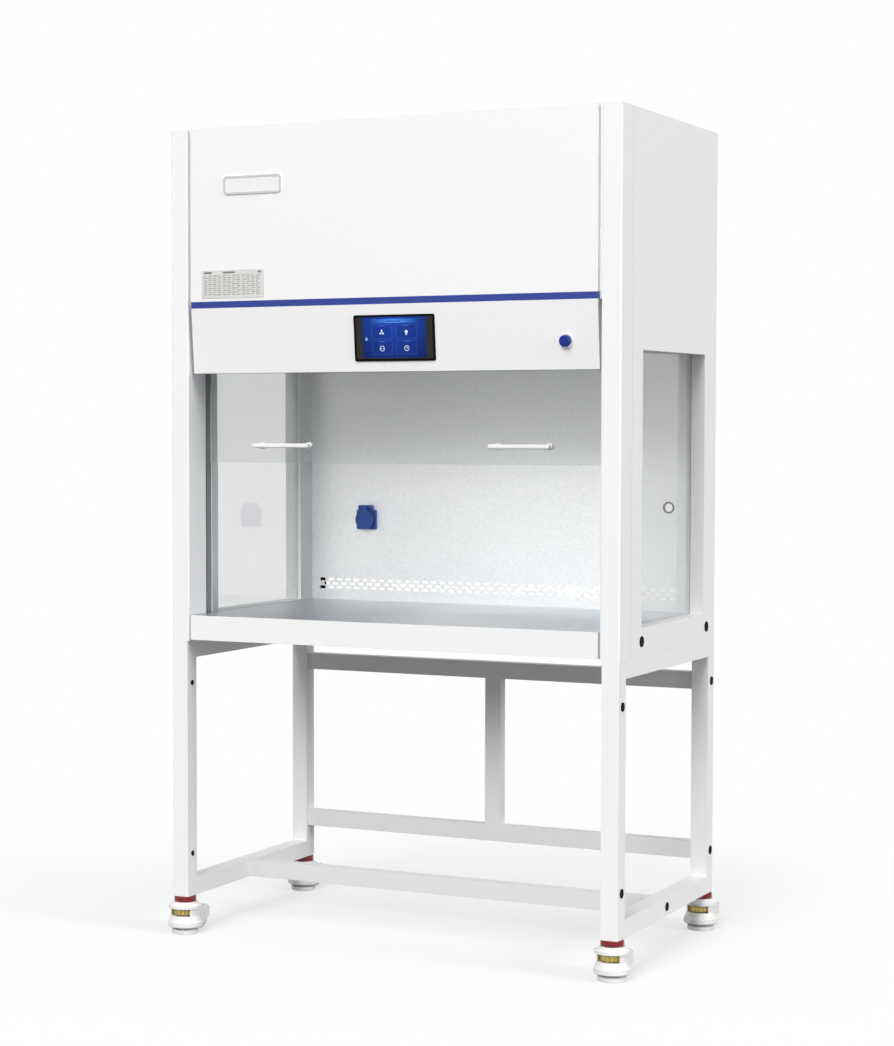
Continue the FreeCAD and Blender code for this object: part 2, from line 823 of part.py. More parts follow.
# Turns a piece so that its Z axis points out of the slanted face at the button's place
def button_seat(piece):
    piece.Placement = FreeCAD.Placement(FreeCAD.Vector(), FreeCAD.Rotation(FreeCAD.Vector(1, 0, 0), 90))
    bind(piece, **{
        "Placement.Base.x": "button_offset",
        "Placement.Base.y": "front + hood_recess - button_rise * sin(slant)",
        "Placement.Base.z": "hood_bottom + button_rise * cos(slant)",
        "Placement.Rotation.Angle": "90 deg + slant",
    })
    return piece


def sash():
    holes = []
    for middle in handle_screws():
        holes.append(rod("y", middle, "sash_plane", "sash_bottom + handle_rise",
                         "handle_post_radius + running_gap", "sash_thickness"))
    pane = block("-sash_reach", "sash_reach", "sash_plane", "sash_plane + sash_thickness",
                 "sash_bottom", "sash_top")
    node("sash_glass", cut(pane, holes))
    fittings = []
    half = "(handle_length / 2)"
    bar_front = "sash_plane - handle_reach - handle_bar"
    z = "sash_bottom + handle_rise"
    for side in sides:
        middle = aside(side, "handle_offset")
        bar = new_body()
        sketch = new_sketch(bar, "YZ_Plane")
        rectangle(sketch, bar_front, f"{bar_front} + handle_bar", f"{z} - handle_bar / 2",
                  f"{z} + handle_bar / 2")
        pad(bar, sketch, "handle_length", "Symmetric")
        soften(bar, lambda edge: True, "edge_round")
        place(bar, middle, "0", "0")
        pieces = [bar]
        for end in ("-", "+"):
            x = f"{middle} {end} ({half} - handle_post_inset)"
            pieces.append(rod("y", x, "sash_plane - handle_reach - handle_bar / 2", z, "handle_post_radius",
                              "handle_reach + handle_bar / 2 + sash_thickness + handle_washer"))
            pieces.append(rod("y", x, "sash_plane - handle_washer", z, "handle_washer_radius",
                              "handle_washer"))
            pieces.append(rod("y", x, "sash_plane + sash_thickness", z, "handle_washer_radius",
                              "handle_washer"))
        fittings.append(join(pieces))
        lug = across(side, "sash_reach - lug_width", "sash_reach")
        fittings.append(block(*lug, "sash_plane", "sash_plane + sash_thickness", "sash_top",
                              "sash_top + lug_height"))
    node("sash_fittings", group(fittings))


def handle_screws():
    reach = "(handle_length / 2 - handle_post_inset)"
    return [f"{aside(side, 'handle_offset')} {end} {reach}" for side in sides for end in ("-", "+")]


# Grooved guides between the posts and the side walls' lining
def sash_guides():
    guides = []
    for side in sides:
        solid = block(*across(side, "post_inner + skin + fit_gap", "post_inner + skin + guide_width"),
                      "front + guide_front", "front + guide_rear + skin", "window_bottom",
                      "top - guide_head")
        groove = block(*across(side, "post_inner", "sash_reach + guide_gap"),
                       "sash_plane - guide_gap", "sash_plane + sash_thickness + guide_gap",
                       "window_bottom", "top - guide_head")
        guides.append(cut(solid, [groove]))
    node("sash_guides", group(guides))


# Two pulleys on one shaft, each with a turn of wire in its groove
def sash_pulleys():
    pieces = [rod("x", "-wire_reach - pulley_width", "pulley_plane", "pulley_height", "shaft_radius",
                  "2 * (wire_reach + pulley_width)")]
    core = "pulley_radius - wire_radius - fit_gap"
    for side in sides:
        middle = aside(side, "wire_reach")
        pieces.append(rod("x", f"{middle} - pulley_width / 2", "pulley_plane", "pulley_height", core,
                          "pulley_width"))
        for start in (f"{middle} - pulley_width / 2", f"{middle} + pulley_width / 2 - skin / 2"):
            pieces.append(rod("x", start, "pulley_plane", "pulley_height",
                              "pulley_radius + pulley_rim", "skin / 2"))
    wheels = join(pieces)
    turns_of_wire = []
    for side in sides:
        ring = document.addObject("Part::Torus", "ring")
        bind(ring, Radius1="pulley_radius", Radius2="wire_radius")
        turns_of_wire.append(place(ring, aside(side, "wire_reach"), "pulley_plane", "pulley_height", "x"))
    node("sash_pulleys", group([wheels] + turns_of_wire))


def sash_wires():
    rising = []
    hanging = []
    for side in sides:
        near = aside(side, "wire_reach - wire_pitch")
        far = aside(side, "wire_reach + wire_pitch")
        rising.append(rod("z", near, "sash_plane + sash_thickness / 2", "sash_top + lug_height",
                          "wire_radius", "pulley_height - sash_top - lug_height"))
        hanging.append(rod("z", far, "weight_plane", "weight_top", "wire_radius",
                           "pulley_height - weight_top"))
    node("sash_wires", group(rising))
    node("weight_wires", group(hanging))


def counterweights():
    weights = []
    for side in sides:
        middle = aside(side, "wire_reach")
        weights.append(block(f"{middle} - weight_width / 2", f"{middle} + weight_width / 2",
                             "weight_plane - weight_depth / 2", "weight_plane + weight_depth / 2",
                             "weight_top - weight_height", "weight_top"))
    node("counterweights", group(weights))


# Back wall: a sheet with three staggered rows of slots and a rearward flange all round
def back_wall():
    body = new_body()
    face = new_sketch(body, "XZ_Plane")
    rectangle(face, "-post_inner", "post_inner", "pan_bottom", "chamber_top")
    pad(body, face, "skin")
    slot_rows(body, (0, 2), "0", "vent_columns")
    slot_rows(body, (1,), "vent_pitch / 2", "vent_columns - 1")
    place(body, "0", "back_front + skin", "0")
    solid = block("-post_inner", "post_inner", "back_front + skin", "rear", "pan_bottom", "chamber_top")
    space = block("-post_inner + skin", "post_inner - skin", "back_front + skin", "rear",
                  "pan_bottom + skin", "chamber_top - skin")
    holes = [
        rod("y", "-socket_offset", "back_front", "socket_height", "socket_body_radius + fit_gap", "skin"),
        rod("y", "grommet_offset", "back_front", "grommet_height", "grommet_waist_radius + fit_gap", "skin"),
    ]
    node("back_wall", cut(join([body, cut(solid, [space])]), holes))


# Rows of the back wall's slots that start at the same distance from its edge
def slot_rows(body, rows, shift, columns):
    slots = new_sketch(body, "XZ_Plane")
    for row in rows:
        bottom = f"vent_bottom + {row} * vent_row_pitch"
        rectangle(slots, f"-vent_left + {shift}", f"-vent_left + {shift} + vent_length", bottom,
                  f"{bottom} + vent_height")
    pocket = pierce(body, slots)
    pattern = body.newObject("PartDesign::LinearPattern", "vents")
    pattern.Originals = [pocket]
    pattern.Direction = (slots, ["H_Axis"])
    bind(pattern, Length=f"vent_pitch * ({columns} - 1)", Occurrences=columns)
    body.Tip = pattern


# Rear cover of the upper box, with the mains inlet's cut-out
def rear_cover():
    solid = block("-post_inner", "post_inner", "back_front", "rear", "chamber_top", "top")
    space = block("-post_inner + skin", "post_inner - skin", "back_front", "rear - skin",
                  "chamber_top + skin", "top - skin")
    hole = block("inlet_offset - inlet_case_width / 2 - fit_gap",
                 "inlet_offset + inlet_case_width / 2 + fit_gap", "rear - skin", "rear",
                 "inlet_height - inlet_case_tall / 2 - fit_gap",
                 "inlet_height + inlet_case_tall / 2 + fit_gap")
    node("rear_cover", cut(solid, [space, hole]))


def mains_inlet():
    half_width = "inlet_width / 2"
    half_tall = "inlet_tall / 2"
    plate = block(f"inlet_offset - {half_width}", f"inlet_offset + {half_width}", "rear",
                  "rear + inlet_flange", f"inlet_height - {half_tall}", f"inlet_height + {half_tall}")
    case = block("inlet_offset - inlet_case_width / 2", "inlet_offset + inlet_case_width / 2",
                 "rear - inlet_case_depth", "rear", "inlet_height - inlet_case_tall / 2",
                 "inlet_height + inlet_case_tall / 2")
    cavity = block("inlet_offset - inlet_case_width / 2 + skin",
                   "inlet_offset + inlet_case_width / 2 - skin",
                   "rear + inlet_flange - inlet_cavity", "rear + inlet_flange",
                   "inlet_height - inlet_case_tall / 2 + skin", "inlet_height + inlet_case_tall / 2 - skin")
    pins = []
    for number in (-1, 0, 1):
        pins.append(rod("y", f"inlet_offset + {number} * inlet_pin_pitch",
                        "rear + inlet_flange - inlet_cavity - skin", "inlet_height", "skin", "inlet_cavity"))
    node("mains_inlet", join([cut(join([plate, case]), [cavity])] + pins))


def top_cover():
    solid = block("-post_inner", "post_inner", "front + panel_return", "back_front",
                  "top - panel_return", "top")
    space = block("-post_inner + skin", "post_inner - skin", "front + panel_return + skin",
                  "back_front - skin", "top - panel_return", "top - skin")
    intake = block("-intake_width / 2", "intake_width / 2", "front + intake_front",
                   "front + intake_front + intake_depth", "top - skin", "top")
    node("top_cover", cut(solid, [space, intake]))


def prefilter():
    x = "(intake_width / 2 + prefilter_frame)"
    y0 = "front + intake_front - prefilter_frame"
    y1 = "front + intake_front + intake_depth + prefilter_frame"
    solid = block(f"-{x}", x, y0, y1, "top - skin - prefilter_height", "top - skin")
    window = ("-intake_width / 2", "intake_width / 2", "front + intake_front",
              "front + intake_front + intake_depth")
    recess = block(*window, "top - skin - prefilter_recess", "top - skin")
    lower = block(*window, "top - skin - prefilter_height",
                  "top - skin - prefilter_height + prefilter_recess")
    node("prefilter", cut(solid, [recess, lower]))


# Ceiling diffuser: a slotted tray that carries the filter
def ceiling_diffuser():
    body = new_body()
    plate = new_sketch(body, "XY_Plane")
    rectangle(plate, "-post_inner", "post_inner", "air_front", "back_front")
    pad(body, plate, "skin")
    slot = new_sketch(body, "XY_Plane")
    first = "(-(diffuser_slots - 1) * diffuser_slot_pitch / 2)"
    rectangle(slot, f"{first} - diffuser_slot_width / 2", f"{first} + diffuser_slot_width / 2",
              "air_front + 2 * diffuser_margin + lamp_batten_width", "back_front - diffuser_margin")
    pocket = pierce(body, slot)
    pattern = body.newObject("PartDesign::LinearPattern", "slots")
    pattern.Originals = [pocket]
    pattern.Direction = (slot, ["H_Axis"])
    bind(pattern, Length="diffuser_slot_pitch * (diffuser_slots - 1)", Occurrences="diffuser_slots")
    body.Tip = pattern
    place(body, "0", "0", "chamber_top")
    solid = block("-post_inner", "post_inner", "air_front", "back_front", "chamber_top + skin",
                  "filter_bottom")
    space = block("-post_inner + skin", "post_inner - skin", "air_front + skin", "back_front - skin",
                  "chamber_top + skin", "filter_bottom")
    node("ceiling_diffuser", join([body, cut(solid, [space])]))


def chamber_lamps():
    y0 = "front + lamp_front"
    batten = block("-lamp_length / 2", "lamp_length / 2", y0, f"{y0} + lamp_batten_width",
                   "chamber_top - lamp_batten_height", "chamber_top")
    pieces = [batten]
    tube_z = "chamber_top - lamp_batten_height - lamp_tube_drop"
    for share in ("lamp_batten_width / 4", "lamp_batten_width * 3 / 4"):
        pieces.append(rod("x", "-lamp_length / 2", f"{y0} + {share}", tube_z, "lamp_tube_radius",
                          "lamp_length"))
    for x0, x1 in (("-lamp_length / 2", "-lamp_length / 2 + lamp_batten_width"),
                   ("lamp_length / 2 - lamp_batten_width", "lamp_length / 2")):
        pieces.append(block(x0, x1, y0, f"{y0} + lamp_batten_width", f"{tube_z} - lamp_tube_radius",
                            "chamber_top - lamp_batten_height"))
    node("chamber_lamps", join(pieces))


# Filter: a rigid frame round a slab of pleated paper set back from both faces
def hepa_filter():
    reach = "(post_inner - filter_side_gap)"
    y = ("air_front", "back_front - filter_side_gap")
    solid = block(f"-{reach}", reach, *y, "filter_bottom", "filter_top")
    inner = (f"-{reach} + filter_frame", f"{reach} - filter_frame", f"{y[0]} + filter_frame",
             f"{y[1]} - filter_frame")
    lower = block(*inner, "filter_bottom", "filter_bottom + filter_recess")
    upper = block(*inner, "filter_top - filter_recess", "filter_top")
    node("hepa_filter", cut(solid, [lower, upper]))


# Blower: a drum over a neck that blows down onto the plenum sheet above the filter
def blower():
    reach = "(post_inner - filter_side_gap)"
    half = "fan_length / 2"
    neck = ("fan_plane - fan_neck_depth", "fan_plane")
    sheet_metal = block(f"-{reach}", reach, "air_front", "back_front - filter_side_gap", "filter_top",
                        "filter_top + plenum_sheet")
    drum = rod("x", f"-{half}", "fan_plane", "fan_axis", "fan_radius", "fan_length")
    duct = block(f"-{half}", half, *neck, "filter_top", "fan_axis")
    drum_space = rod("x", f"-{half} + skin", "fan_plane", "fan_axis", "fan_radius - skin",
                     "fan_length - 2 * skin")
    duct_space = block(f"-{half} + skin", f"{half} - skin", f"{neck[0]} + skin", f"{neck[1]} - skin",
                       "filter_top", "fan_axis")
    inlets = rod("x", f"-{half}", "fan_plane", "fan_axis", "fan_inlet_radius", "fan_length")
    node("blower_housing", cut(join([sheet_metal, drum, duct]), [drum_space, duct_space, inlets]))

    pieces = [
        rod("x", "motor_start", "fan_plane", "fan_axis", "motor_radius", "motor_length"),
        rod("x", "impeller_start - impeller_disc", "fan_plane", "fan_axis", "motor_shaft_radius",
            "motor_start - impeller_start + 2 * impeller_disc"),
        block(half, f"{half} + motor_arm_thickness", "fan_plane - fan_radius", "fan_plane + fan_radius",
              "fan_axis - motor_arm_width / 2", "fan_axis + motor_arm_width / 2"),
        block(half, f"{half} + motor_arm_thickness", "fan_plane - motor_arm_width / 2",
              "fan_plane + motor_arm_width / 2", "fan_axis", "fan_axis + fan_radius"),
    ]
    node("blower_motor", join(pieces))
    blower_impeller()


# Impeller: a ring of blades between a disc and a rim, on a hub that turns on the motor's shaft
def blower_impeller():
    body = new_body()
    disc = new_sketch(body, "YZ_Plane")
    circle(disc, "0", "0", "impeller_radius")
    circle(disc, "0", "0", "motor_shaft_radius + running_gap")
    pad(body, disc, "impeller_disc")
    hub = new_sketch(body, "YZ_Plane")
    circle(hub, "0", "0", "impeller_hub_radius")
    circle(hub, "0", "0", "motor_shaft_radius + running_gap")
    pad(body, hub, "impeller_hub_length")
    blade = new_sketch(body, "YZ_Plane")
    rectangle(blade, "impeller_radius - impeller_blade_depth", "impeller_radius - skin / 2",
              "-impeller_blade_thickness / 2", "impeller_blade_thickness / 2")
    blades = pad(body, blade, "impeller_width")
    pattern = body.newObject("PartDesign::PolarPattern", "blades")
    pattern.Originals = [blades]
    pattern.Axis = (blade, ["N_Axis"])
    pattern.Angle = 360
    bind(pattern, Occurrences="impeller_blades")
    body.Tip = pattern
    rim = rod("x", "impeller_width - impeller_disc", "0", "0", "impeller_radius", "impeller_disc")
    mouth = rod("x", "impeller_width - impeller_disc", "0", "0",
                "impeller_radius - impeller_blade_depth + skin", "impeller_disc")
    wheel = join([body, cut(rim, [mouth])])
    wheel.Refine = False
    node("blower_impeller", place_wheel(wheel))


def place_wheel(wheel):
    bind(wheel, **{
        "Placement.Base.x": "impeller_start",
        "Placement.Base.y": "fan_plane",
        "Placement.Base.z": "fan_axis",
    })
    return wheel


# Worktop: a tray turned upside down, its skirts standing on the base pan
def worktop():
    solid = block("-post_inner + fit_gap", "post_inner - fit_gap", "front + skin", "back_front",
                  "pan_bottom + skin", "worktop_height")
    space = block("-post_inner + fit_gap + skin", "post_inner - fit_gap - skin", "front + 2 * skin",
                  "back_front - skin", "pan_bottom + skin", "worktop_height - skin")
    node("worktop", cut(solid, [space]))


def base_pan():
    apron = block("-apron_reach", "apron_reach", "front", "front + skin", "pan_bottom",
                  "worktop_height")
    lip = block("-apron_reach", "apron_reach", "front", "front + panel_return", "pan_bottom",
                "pan_bottom + skin")
    floor = block("-post_inner", "post_inner", "front + panel_return", "back_front", "pan_bottom",
                  "pan_bottom + skin")
    node("base_pan", join([apron, lip, floor]))


# Socket with a hinged lid on the back wall
def chamber_socket():
    flange = rounded_plate("-socket_offset - socket_width / 2", "-socket_offset + socket_width / 2",
                           "socket_height - socket_flange_height / 2",
                           "socket_height + socket_flange_height / 2", "socket_flange", "socket_round")
    flange.Placement = FreeCAD.Placement(FreeCAD.Vector(), FreeCAD.Rotation(FreeCAD.Vector(1, 0, 0), 90))
    bind(flange, **{"Placement.Base.y": "back_front"})
    collar_front = "back_front - socket_flange - socket_collar"
    collar = rod("y", "-socket_offset", collar_front, "socket_height", "socket_collar_radius",
                 "socket_collar")
    body = rod("y", "-socket_offset", "back_front", "socket_height", "socket_body_radius",
               "socket_body_depth")
    bore = rod("y", "-socket_offset", collar_front, "socket_height", "socket_bore_radius",
               "socket_collar + socket_flange + socket_body_depth - 2 * skin")
    knuckles = []
    pin_holes = []
    ends = [("-socket_offset - lid_hinge_length / 2", "-socket_offset - lid_knuckle / 2 - fit_gap"),
            ("-socket_offset + lid_knuckle / 2 + fit_gap", "-socket_offset + lid_hinge_length / 2")]
    for x0, x1 in ends:
        knuckles.append(rod("x", x0, "lid_hinge_plane", "lid_hinge_height", "lid_hinge_radius",
                            f"({x1}) - ({x0})"))
        knuckles.append(block(x0, x1, "lid_hinge_plane", "back_front",
                              "socket_height + socket_flange_height / 2 - socket_round",
                              "lid_hinge_height + lid_hinge_radius"))
    pin_holes.append(rod("x", "-socket_offset - lid_hinge_length / 2 + skin", "lid_hinge_plane",
                         "lid_hinge_height", "lid_pin_radius + running_gap",
                         "lid_hinge_length - 2 * skin"))
    node("socket_body", cut(join([flange, collar, body] + knuckles), [bore] + pin_holes))

    lid_back = f"{collar_front} - fit_gap"
    lid = [
        rod("y", "-socket_offset", f"{lid_back} - lid_thickness", "socket_height", "lid_radius",
            "lid_thickness"),
        block("-socket_offset - lid_knuckle / 2", "-socket_offset + lid_knuckle / 2",
              f"{lid_back} - lid_thickness", lid_back, "socket_height",
              "lid_hinge_height + lid_hinge_radius"),
        rod("x", "-socket_offset - lid_knuckle / 2", "lid_hinge_plane", "lid_hinge_height",
            "lid_hinge_radius", "lid_knuckle"),
        block("-socket_offset - lid_knuckle / 2", "-socket_offset + lid_knuckle / 2",
              f"{lid_back} - lid_thickness", "lid_hinge_plane", "lid_hinge_height",
              "lid_hinge_height + lid_hinge_radius"),
        rod("x", "-socket_offset - lid_hinge_length / 2 + skin + fit_gap", "lid_hinge_plane",
            "lid_hinge_height", "lid_pin_radius", "lid_hinge_length - 2 * skin - 2 * fit_gap"),
    ]
    node("socket_lid", join(lid))


# Cable grommet, a soft ring with a flange on each side of the back wall
def cable_grommet():
    body = turned([("grommet_bore_radius", "-skin - grommet_flange"),
                   ("grommet_radius - skin", "-skin - grommet_flange"),
                   ("grommet_radius - skin", "-skin"), ("grommet_waist_radius", "-skin"),
                   ("grommet_waist_radius", "0"), ("grommet_radius", "0"),
                   ("grommet_radius", "grommet_flange - skin / 2"),
                   ("grommet_radius - skin", "grommet_flange"),
                   ("grommet_bore_radius", "grommet_flange")])
    body.Placement = FreeCAD.Placement(FreeCAD.Vector(), FreeCAD.Rotation(FreeCAD.Vector(1, 0, 0), 90))
    bind(body, **{"Placement.Base.x": "grommet_offset", "Placement.Base.y": "back_front",
                  "Placement.Base.z": "grommet_height"})
    node("cable_grommet", body)


# Caster corners: name, X of the leg's middle, Y of the leg's middle
corners = [
    ("front_left", "-half_width + tube_width / 2", "front_leg"),
    ("front_right", "half_width - tube_width / 2", "front_leg"),
    ("rear_left", "-half_width + tube_width / 2", "rear_leg"),
    ("rear_right", "half_width - tube_width / 2", "rear_leg"),
]


# Red collar under each leg, with a stem inside the leg and a socket for the swivel pin
def caster_collars():
    collars = []
    for name, x, y in corners:
        low = "caster_height - collar_height"
        pin = "swivel_pin_radius + running_gap"
        collar = turned([(pin, low), ("collar_radius - skin", low), ("collar_radius", f"{low} + skin"),
                         ("collar_radius", "caster_height - skin"), ("collar_radius - skin", "caster_height"),
                         ("collar_stem_radius", "caster_height"),
                         ("collar_stem_radius", "caster_height + collar_stem_height"),
                         (pin, "caster_height + collar_stem_height")])
        collars.append(place(collar, x, y, "0"))
    node("caster_collars", group(collars))


# Swivel housing: stepped plate, wall with a mouth for the thumbwheel, rim band, fork arms and fender
def caster_housing(name, x, y):
    plate_top = "caster_height - collar_height - fit_gap"
    plate = turned([("0", "plate_bottom"), ("plate_radius", "plate_bottom"),
                    ("plate_radius", "plate_bottom + plate_edge"),
                    ("plate_shoulder_radius", "plate_bottom + plate_rise"),
                    ("plate_shoulder_radius", plate_top), ("swivel_pin_radius", plate_top),
                    ("swivel_pin_radius", f"{plate_top} + swivel_pin_height"),
                    ("0", f"{plate_top} + swivel_pin_height")])
    drum = turned([("0", "foot_pocket_top"), ("foot_pocket_radius", "foot_pocket_top"),
                   ("foot_pocket_radius", "band_bottom"), ("band_radius - band_bulge", "band_bottom"),
                   ("band_radius", "band_bottom + band_bulge"), ("band_radius", "band_top - band_bulge"),
                   ("band_radius - band_bulge", "band_top"), ("neck_radius", "neck_top"),
                   ("neck_radius", "plate_bottom + plate_edge / 2"), ("0", "plate_bottom + plate_edge / 2")])
    mouth = block("-mouth_width / 2", "mouth_width / 2", "-2 * band_radius", "0", "neck_top", "plate_bottom")
    arms = []
    for x0, x1 in (("-fork_outer", "-fork_inner"), ("fork_inner", "fork_outer")):
        arms.append(block(x0, x1, "thumb_radius + fork_gap", "wheel_trail", "band_bottom",
                          "wheel_axis + wheel_radius"))
        arms.append(rod("x", x0, "wheel_trail", "wheel_axis", "fork_boss_radius", "fork_thickness"))
    clear = "wheel_radius + fender_gap"
    fender = cut(rod("x", "-fork_outer", "wheel_trail", "wheel_axis", f"{clear} + fender_thickness",
                     "2 * fork_outer"),
                 [block("-2 * fork_outer", "2 * fork_outer", "wheel_trail + wheel_radius - fender_gap",
                        "wheel_trail + 2 * wheel_radius", "-wheel_radius", "4 * wheel_radius"),
                  block("-2 * fork_outer", "2 * fork_outer", "thumb_radius", "wheel_trail + 2 * wheel_radius",
                        "-wheel_radius", "wheel_axis")])
    well = rod("x", "-fork_inner", "wheel_trail", "wheel_axis", clear, "2 * fork_inner")
    bore = rod("z", "0", "0", "foot_pocket_top", "spindle_radius + running_gap",
               "spindle_bore_top - foot_pocket_top")
    wheel_space = rod("z", "0", "0", "neck_top", "thumb_radius + fork_gap", "plate_bottom - neck_top")
    pocket = rod("z", "0", "0", "band_bottom", "foot_pocket_radius", "foot_pocket_top - band_bottom")
    axle = rod("x", "-fork_outer", "wheel_trail", "wheel_axis", "wheel_axle_radius", "2 * fork_outer")
    shell = join([plate, drum, fender] + arms)
    shape = join([cut(shell, [well, bore, wheel_space, mouth, pocket]), axle])
    node(f"caster_housing_{name}", moved(shape, x, y))


# Moves a finished shape, built round its own Z axis, to a corner of the stand
def moved(piece, x, y):
    bind(piece, **{"Placement.Base.x": x, "Placement.Base.y": y})
    return piece


def caster_wheel(name, x, y):
    half = "wheel_width / 2"
    wheel = turned([("wheel_axle_radius + running_gap", f"-{half}"),
                    ("wheel_radius - band_bulge", f"-{half}"),
                    ("wheel_radius", f"-{half} + band_bulge"), ("wheel_radius", f"{half} - band_bulge"),
                    ("wheel_radius - band_bulge", half), ("wheel_axle_radius + running_gap", half)])
    node(f"caster_wheel_{name}", place(wheel, x, f"{y} + wheel_trail", "wheel_axis", "x"))


# Thumbwheel with notches round its rim, threaded on the foot's spindle
def caster_thumbwheel(name, x, y):
    body = new_body()
    disc = new_sketch(body, "XY_Plane")
    circle(disc, "0", "0", "thumb_radius")
    circle(disc, "0", "0", "spindle_radius + running_gap")
    pad(body, disc, "thumb_height")
    notch = new_sketch(body, "XY_Plane")
    circle(notch, "thumb_radius", "0", "thumb_notch_radius")
    pocket = pierce(body, notch)
    pattern = body.newObject("PartDesign::PolarPattern", "notches")
    pattern.Originals = [pocket]
    pattern.Axis = (notch, ["N_Axis"])
    pattern.Angle = 360
    bind(pattern, Occurrences="thumb_notches")
    body.Tip = pattern
    node(f"caster_thumbwheel_{name}", place(body, x, y, "thumb_bottom"))


def caster_foot(name, x, y):
    foot = turned([("0", "0"), ("foot_radius - skin", "0"), ("foot_radius", "skin / 2"),
                   ("foot_radius", "foot_rim"), ("foot_hub_radius", "foot_height"),
                   ("spindle_radius", "foot_height"), ("spindle_radius", "spindle_top"),
                   ("0", "spindle_top")])
    node(f"caster_foot_{name}", place(foot, x, y, "0"))


for side in sides:
    side_frame(side)
    front_post(side)
    side_wall(side)
rear_frame()
lower_cross_rail()
frame_bolts()
hole_plugs()
side_windows()
front_panels()
control_hood()
touch_panel()
push_button()
sash()
sash_guides()
sash_pulleys()
sash_wires()
counterweights()
back_wall()
rear_cover()
mains_inlet()
top_cover()
prefilter()
ceiling_diffuser()
chamber_lamps()
hepa_filter()
blower()
worktop()
base_pan()
chamber_socket()
cable_grommet()
caster_collars()
for name, x, y in corners:
    caster_housing(name, x, y)
    caster_wheel(name, x, y)
    caster_thumbwheel(name, x, y)
    caster_foot(name, x, y)

document.recompute()
for item in document.Objects:
    if "Invalid" in item.State or "Error" in item.State:
        raise RuntimeError(f"{item.Name} ({item.Label}) did not build: {item.State}")
for piece in nodes:
    if piece.Shape.isNull() or not piece.Shape.isValid():
        raise RuntimeError(f"{piece.Label} has no valid shape")

os.makedirs("parts", exist_ok=True)
for piece in nodes:
    piece.Shape.exportStep(f"parts/{piece.Label}.step")
    print(piece.Label, len(piece.Shape.Solids), round(piece.Shape.Volume))
print(len(nodes), "nodes")
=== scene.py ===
# Vertical laminar flow cabinet: finishes, small details, studio and camera.
import json
import math
import bmesh
import bpy
from mathutils import Matrix, Vector


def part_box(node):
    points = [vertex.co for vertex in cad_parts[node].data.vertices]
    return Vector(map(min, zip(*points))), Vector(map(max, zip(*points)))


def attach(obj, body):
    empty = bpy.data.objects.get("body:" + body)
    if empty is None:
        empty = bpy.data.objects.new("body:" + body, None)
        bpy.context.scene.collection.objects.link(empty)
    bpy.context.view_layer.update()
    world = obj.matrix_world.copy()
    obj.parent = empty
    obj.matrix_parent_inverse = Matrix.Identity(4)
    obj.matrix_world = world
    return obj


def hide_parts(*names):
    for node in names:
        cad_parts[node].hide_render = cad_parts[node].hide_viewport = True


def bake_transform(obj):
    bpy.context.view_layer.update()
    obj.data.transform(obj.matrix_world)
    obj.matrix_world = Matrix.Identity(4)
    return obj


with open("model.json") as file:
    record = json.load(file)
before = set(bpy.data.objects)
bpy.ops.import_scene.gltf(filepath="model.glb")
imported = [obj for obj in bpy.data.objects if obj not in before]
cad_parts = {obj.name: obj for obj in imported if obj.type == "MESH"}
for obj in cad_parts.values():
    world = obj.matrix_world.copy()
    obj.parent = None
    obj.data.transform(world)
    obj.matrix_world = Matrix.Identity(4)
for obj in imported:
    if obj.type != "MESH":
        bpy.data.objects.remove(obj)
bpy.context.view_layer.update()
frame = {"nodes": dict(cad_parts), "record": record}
nodes = frame["nodes"]
mm = 0.001
print("stage: frame loaded with", len(nodes), "nodes")


# Colours are written as sRGB hex and turned to linear here
def linear(hexText):
    channels = [int(hexText[start:start + 2], 16) / 255 for start in (1, 3, 5)]
    return [c / 12.92 if c <= 0.04045 else ((c + 0.055) / 1.055) ** 2.4 for c in channels] + [1.0]


# Adds one shader node; a key that names a socket sets it, any other key sets a property of the node
def addNode(material, kind, settings=None, links=None):
    tree = material.node_tree
    node = tree.nodes.new("ShaderNode" + kind)
    for key, value in (settings or {}).items():
        if isinstance(key, int) or key in node.inputs:
            node.inputs[key].default_value = value
        else:
            setattr(node, key, value)
    for key, source in (links or {}).items():
        tree.links.new(source, node.inputs[key])
    return node


def newMaterial(name):
    material = bpy.data.materials.new(name)
    material.use_nodes = True
    material.node_tree.nodes.clear()
    return material


def finishMaterial(material, shader):
    addNode(material, "OutputMaterial", links={"Surface": shader})
    return material


def principled(material, settings, links):
    shader = addNode(material, "BsdfPrincipled", settings, links)
    return finishMaterial(material, shader.outputs["BSDF"])


# Patterns that the materials share; each returns the socket to link

# A noise over the object's own coordinates, its scale in cells per metre
def noise(material, scale, detail, roughness=0.5):
    place = addNode(material, "TexCoord")
    pattern = addNode(material, "TexNoise", {"Scale": scale, "Detail": detail, "Roughness": roughness},
                      {"Vector": place.outputs["Object"]})
    return pattern.outputs["Fac"]


# A roughness that wanders with a pattern, from smoother to rougher than its middle value
def gloss(material, pattern, roughness, smoother, rougher):
    limits = {"To Min": roughness - smoother, "To Max": roughness + rougher}
    return addNode(material, "MapRange", limits, {"Value": pattern}).outputs["Result"]


# A bump from a pattern, laid over rounded edges where these are given
def relief(material, pattern, strength, depth, edge=None):
    links = {"Height": pattern}
    if edge is not None:
        links["Normal"] = edge
    return addNode(material, "Bump", {"Strength": strength, "Distance": depth}, links).outputs["Normal"]


def roundedEdge(material, radius):
    return addNode(material, "Bevel", {"samples": 4, "Radius": radius}).outputs["Normal"]


def mixedColour(material, first, second, share):
    mix = addNode(material, "Mix", {"data_type": "RGBA", 6: linear(first), 7: linear(second)}, {0: share})
    return mix.outputs[2]


def distanceFrom(material, point):
    place = addNode(material, "TexCoord")
    away = addNode(material, "VectorMath", {"operation": "DISTANCE", 1: point},
                   {0: place.outputs["Object"]})
    return away.outputs["Value"]


def larger(holder, first, second):
    return addNode(holder, "Math", {"operation": "MAXIMUM"}, {0: first, 1: second}).outputs[0]


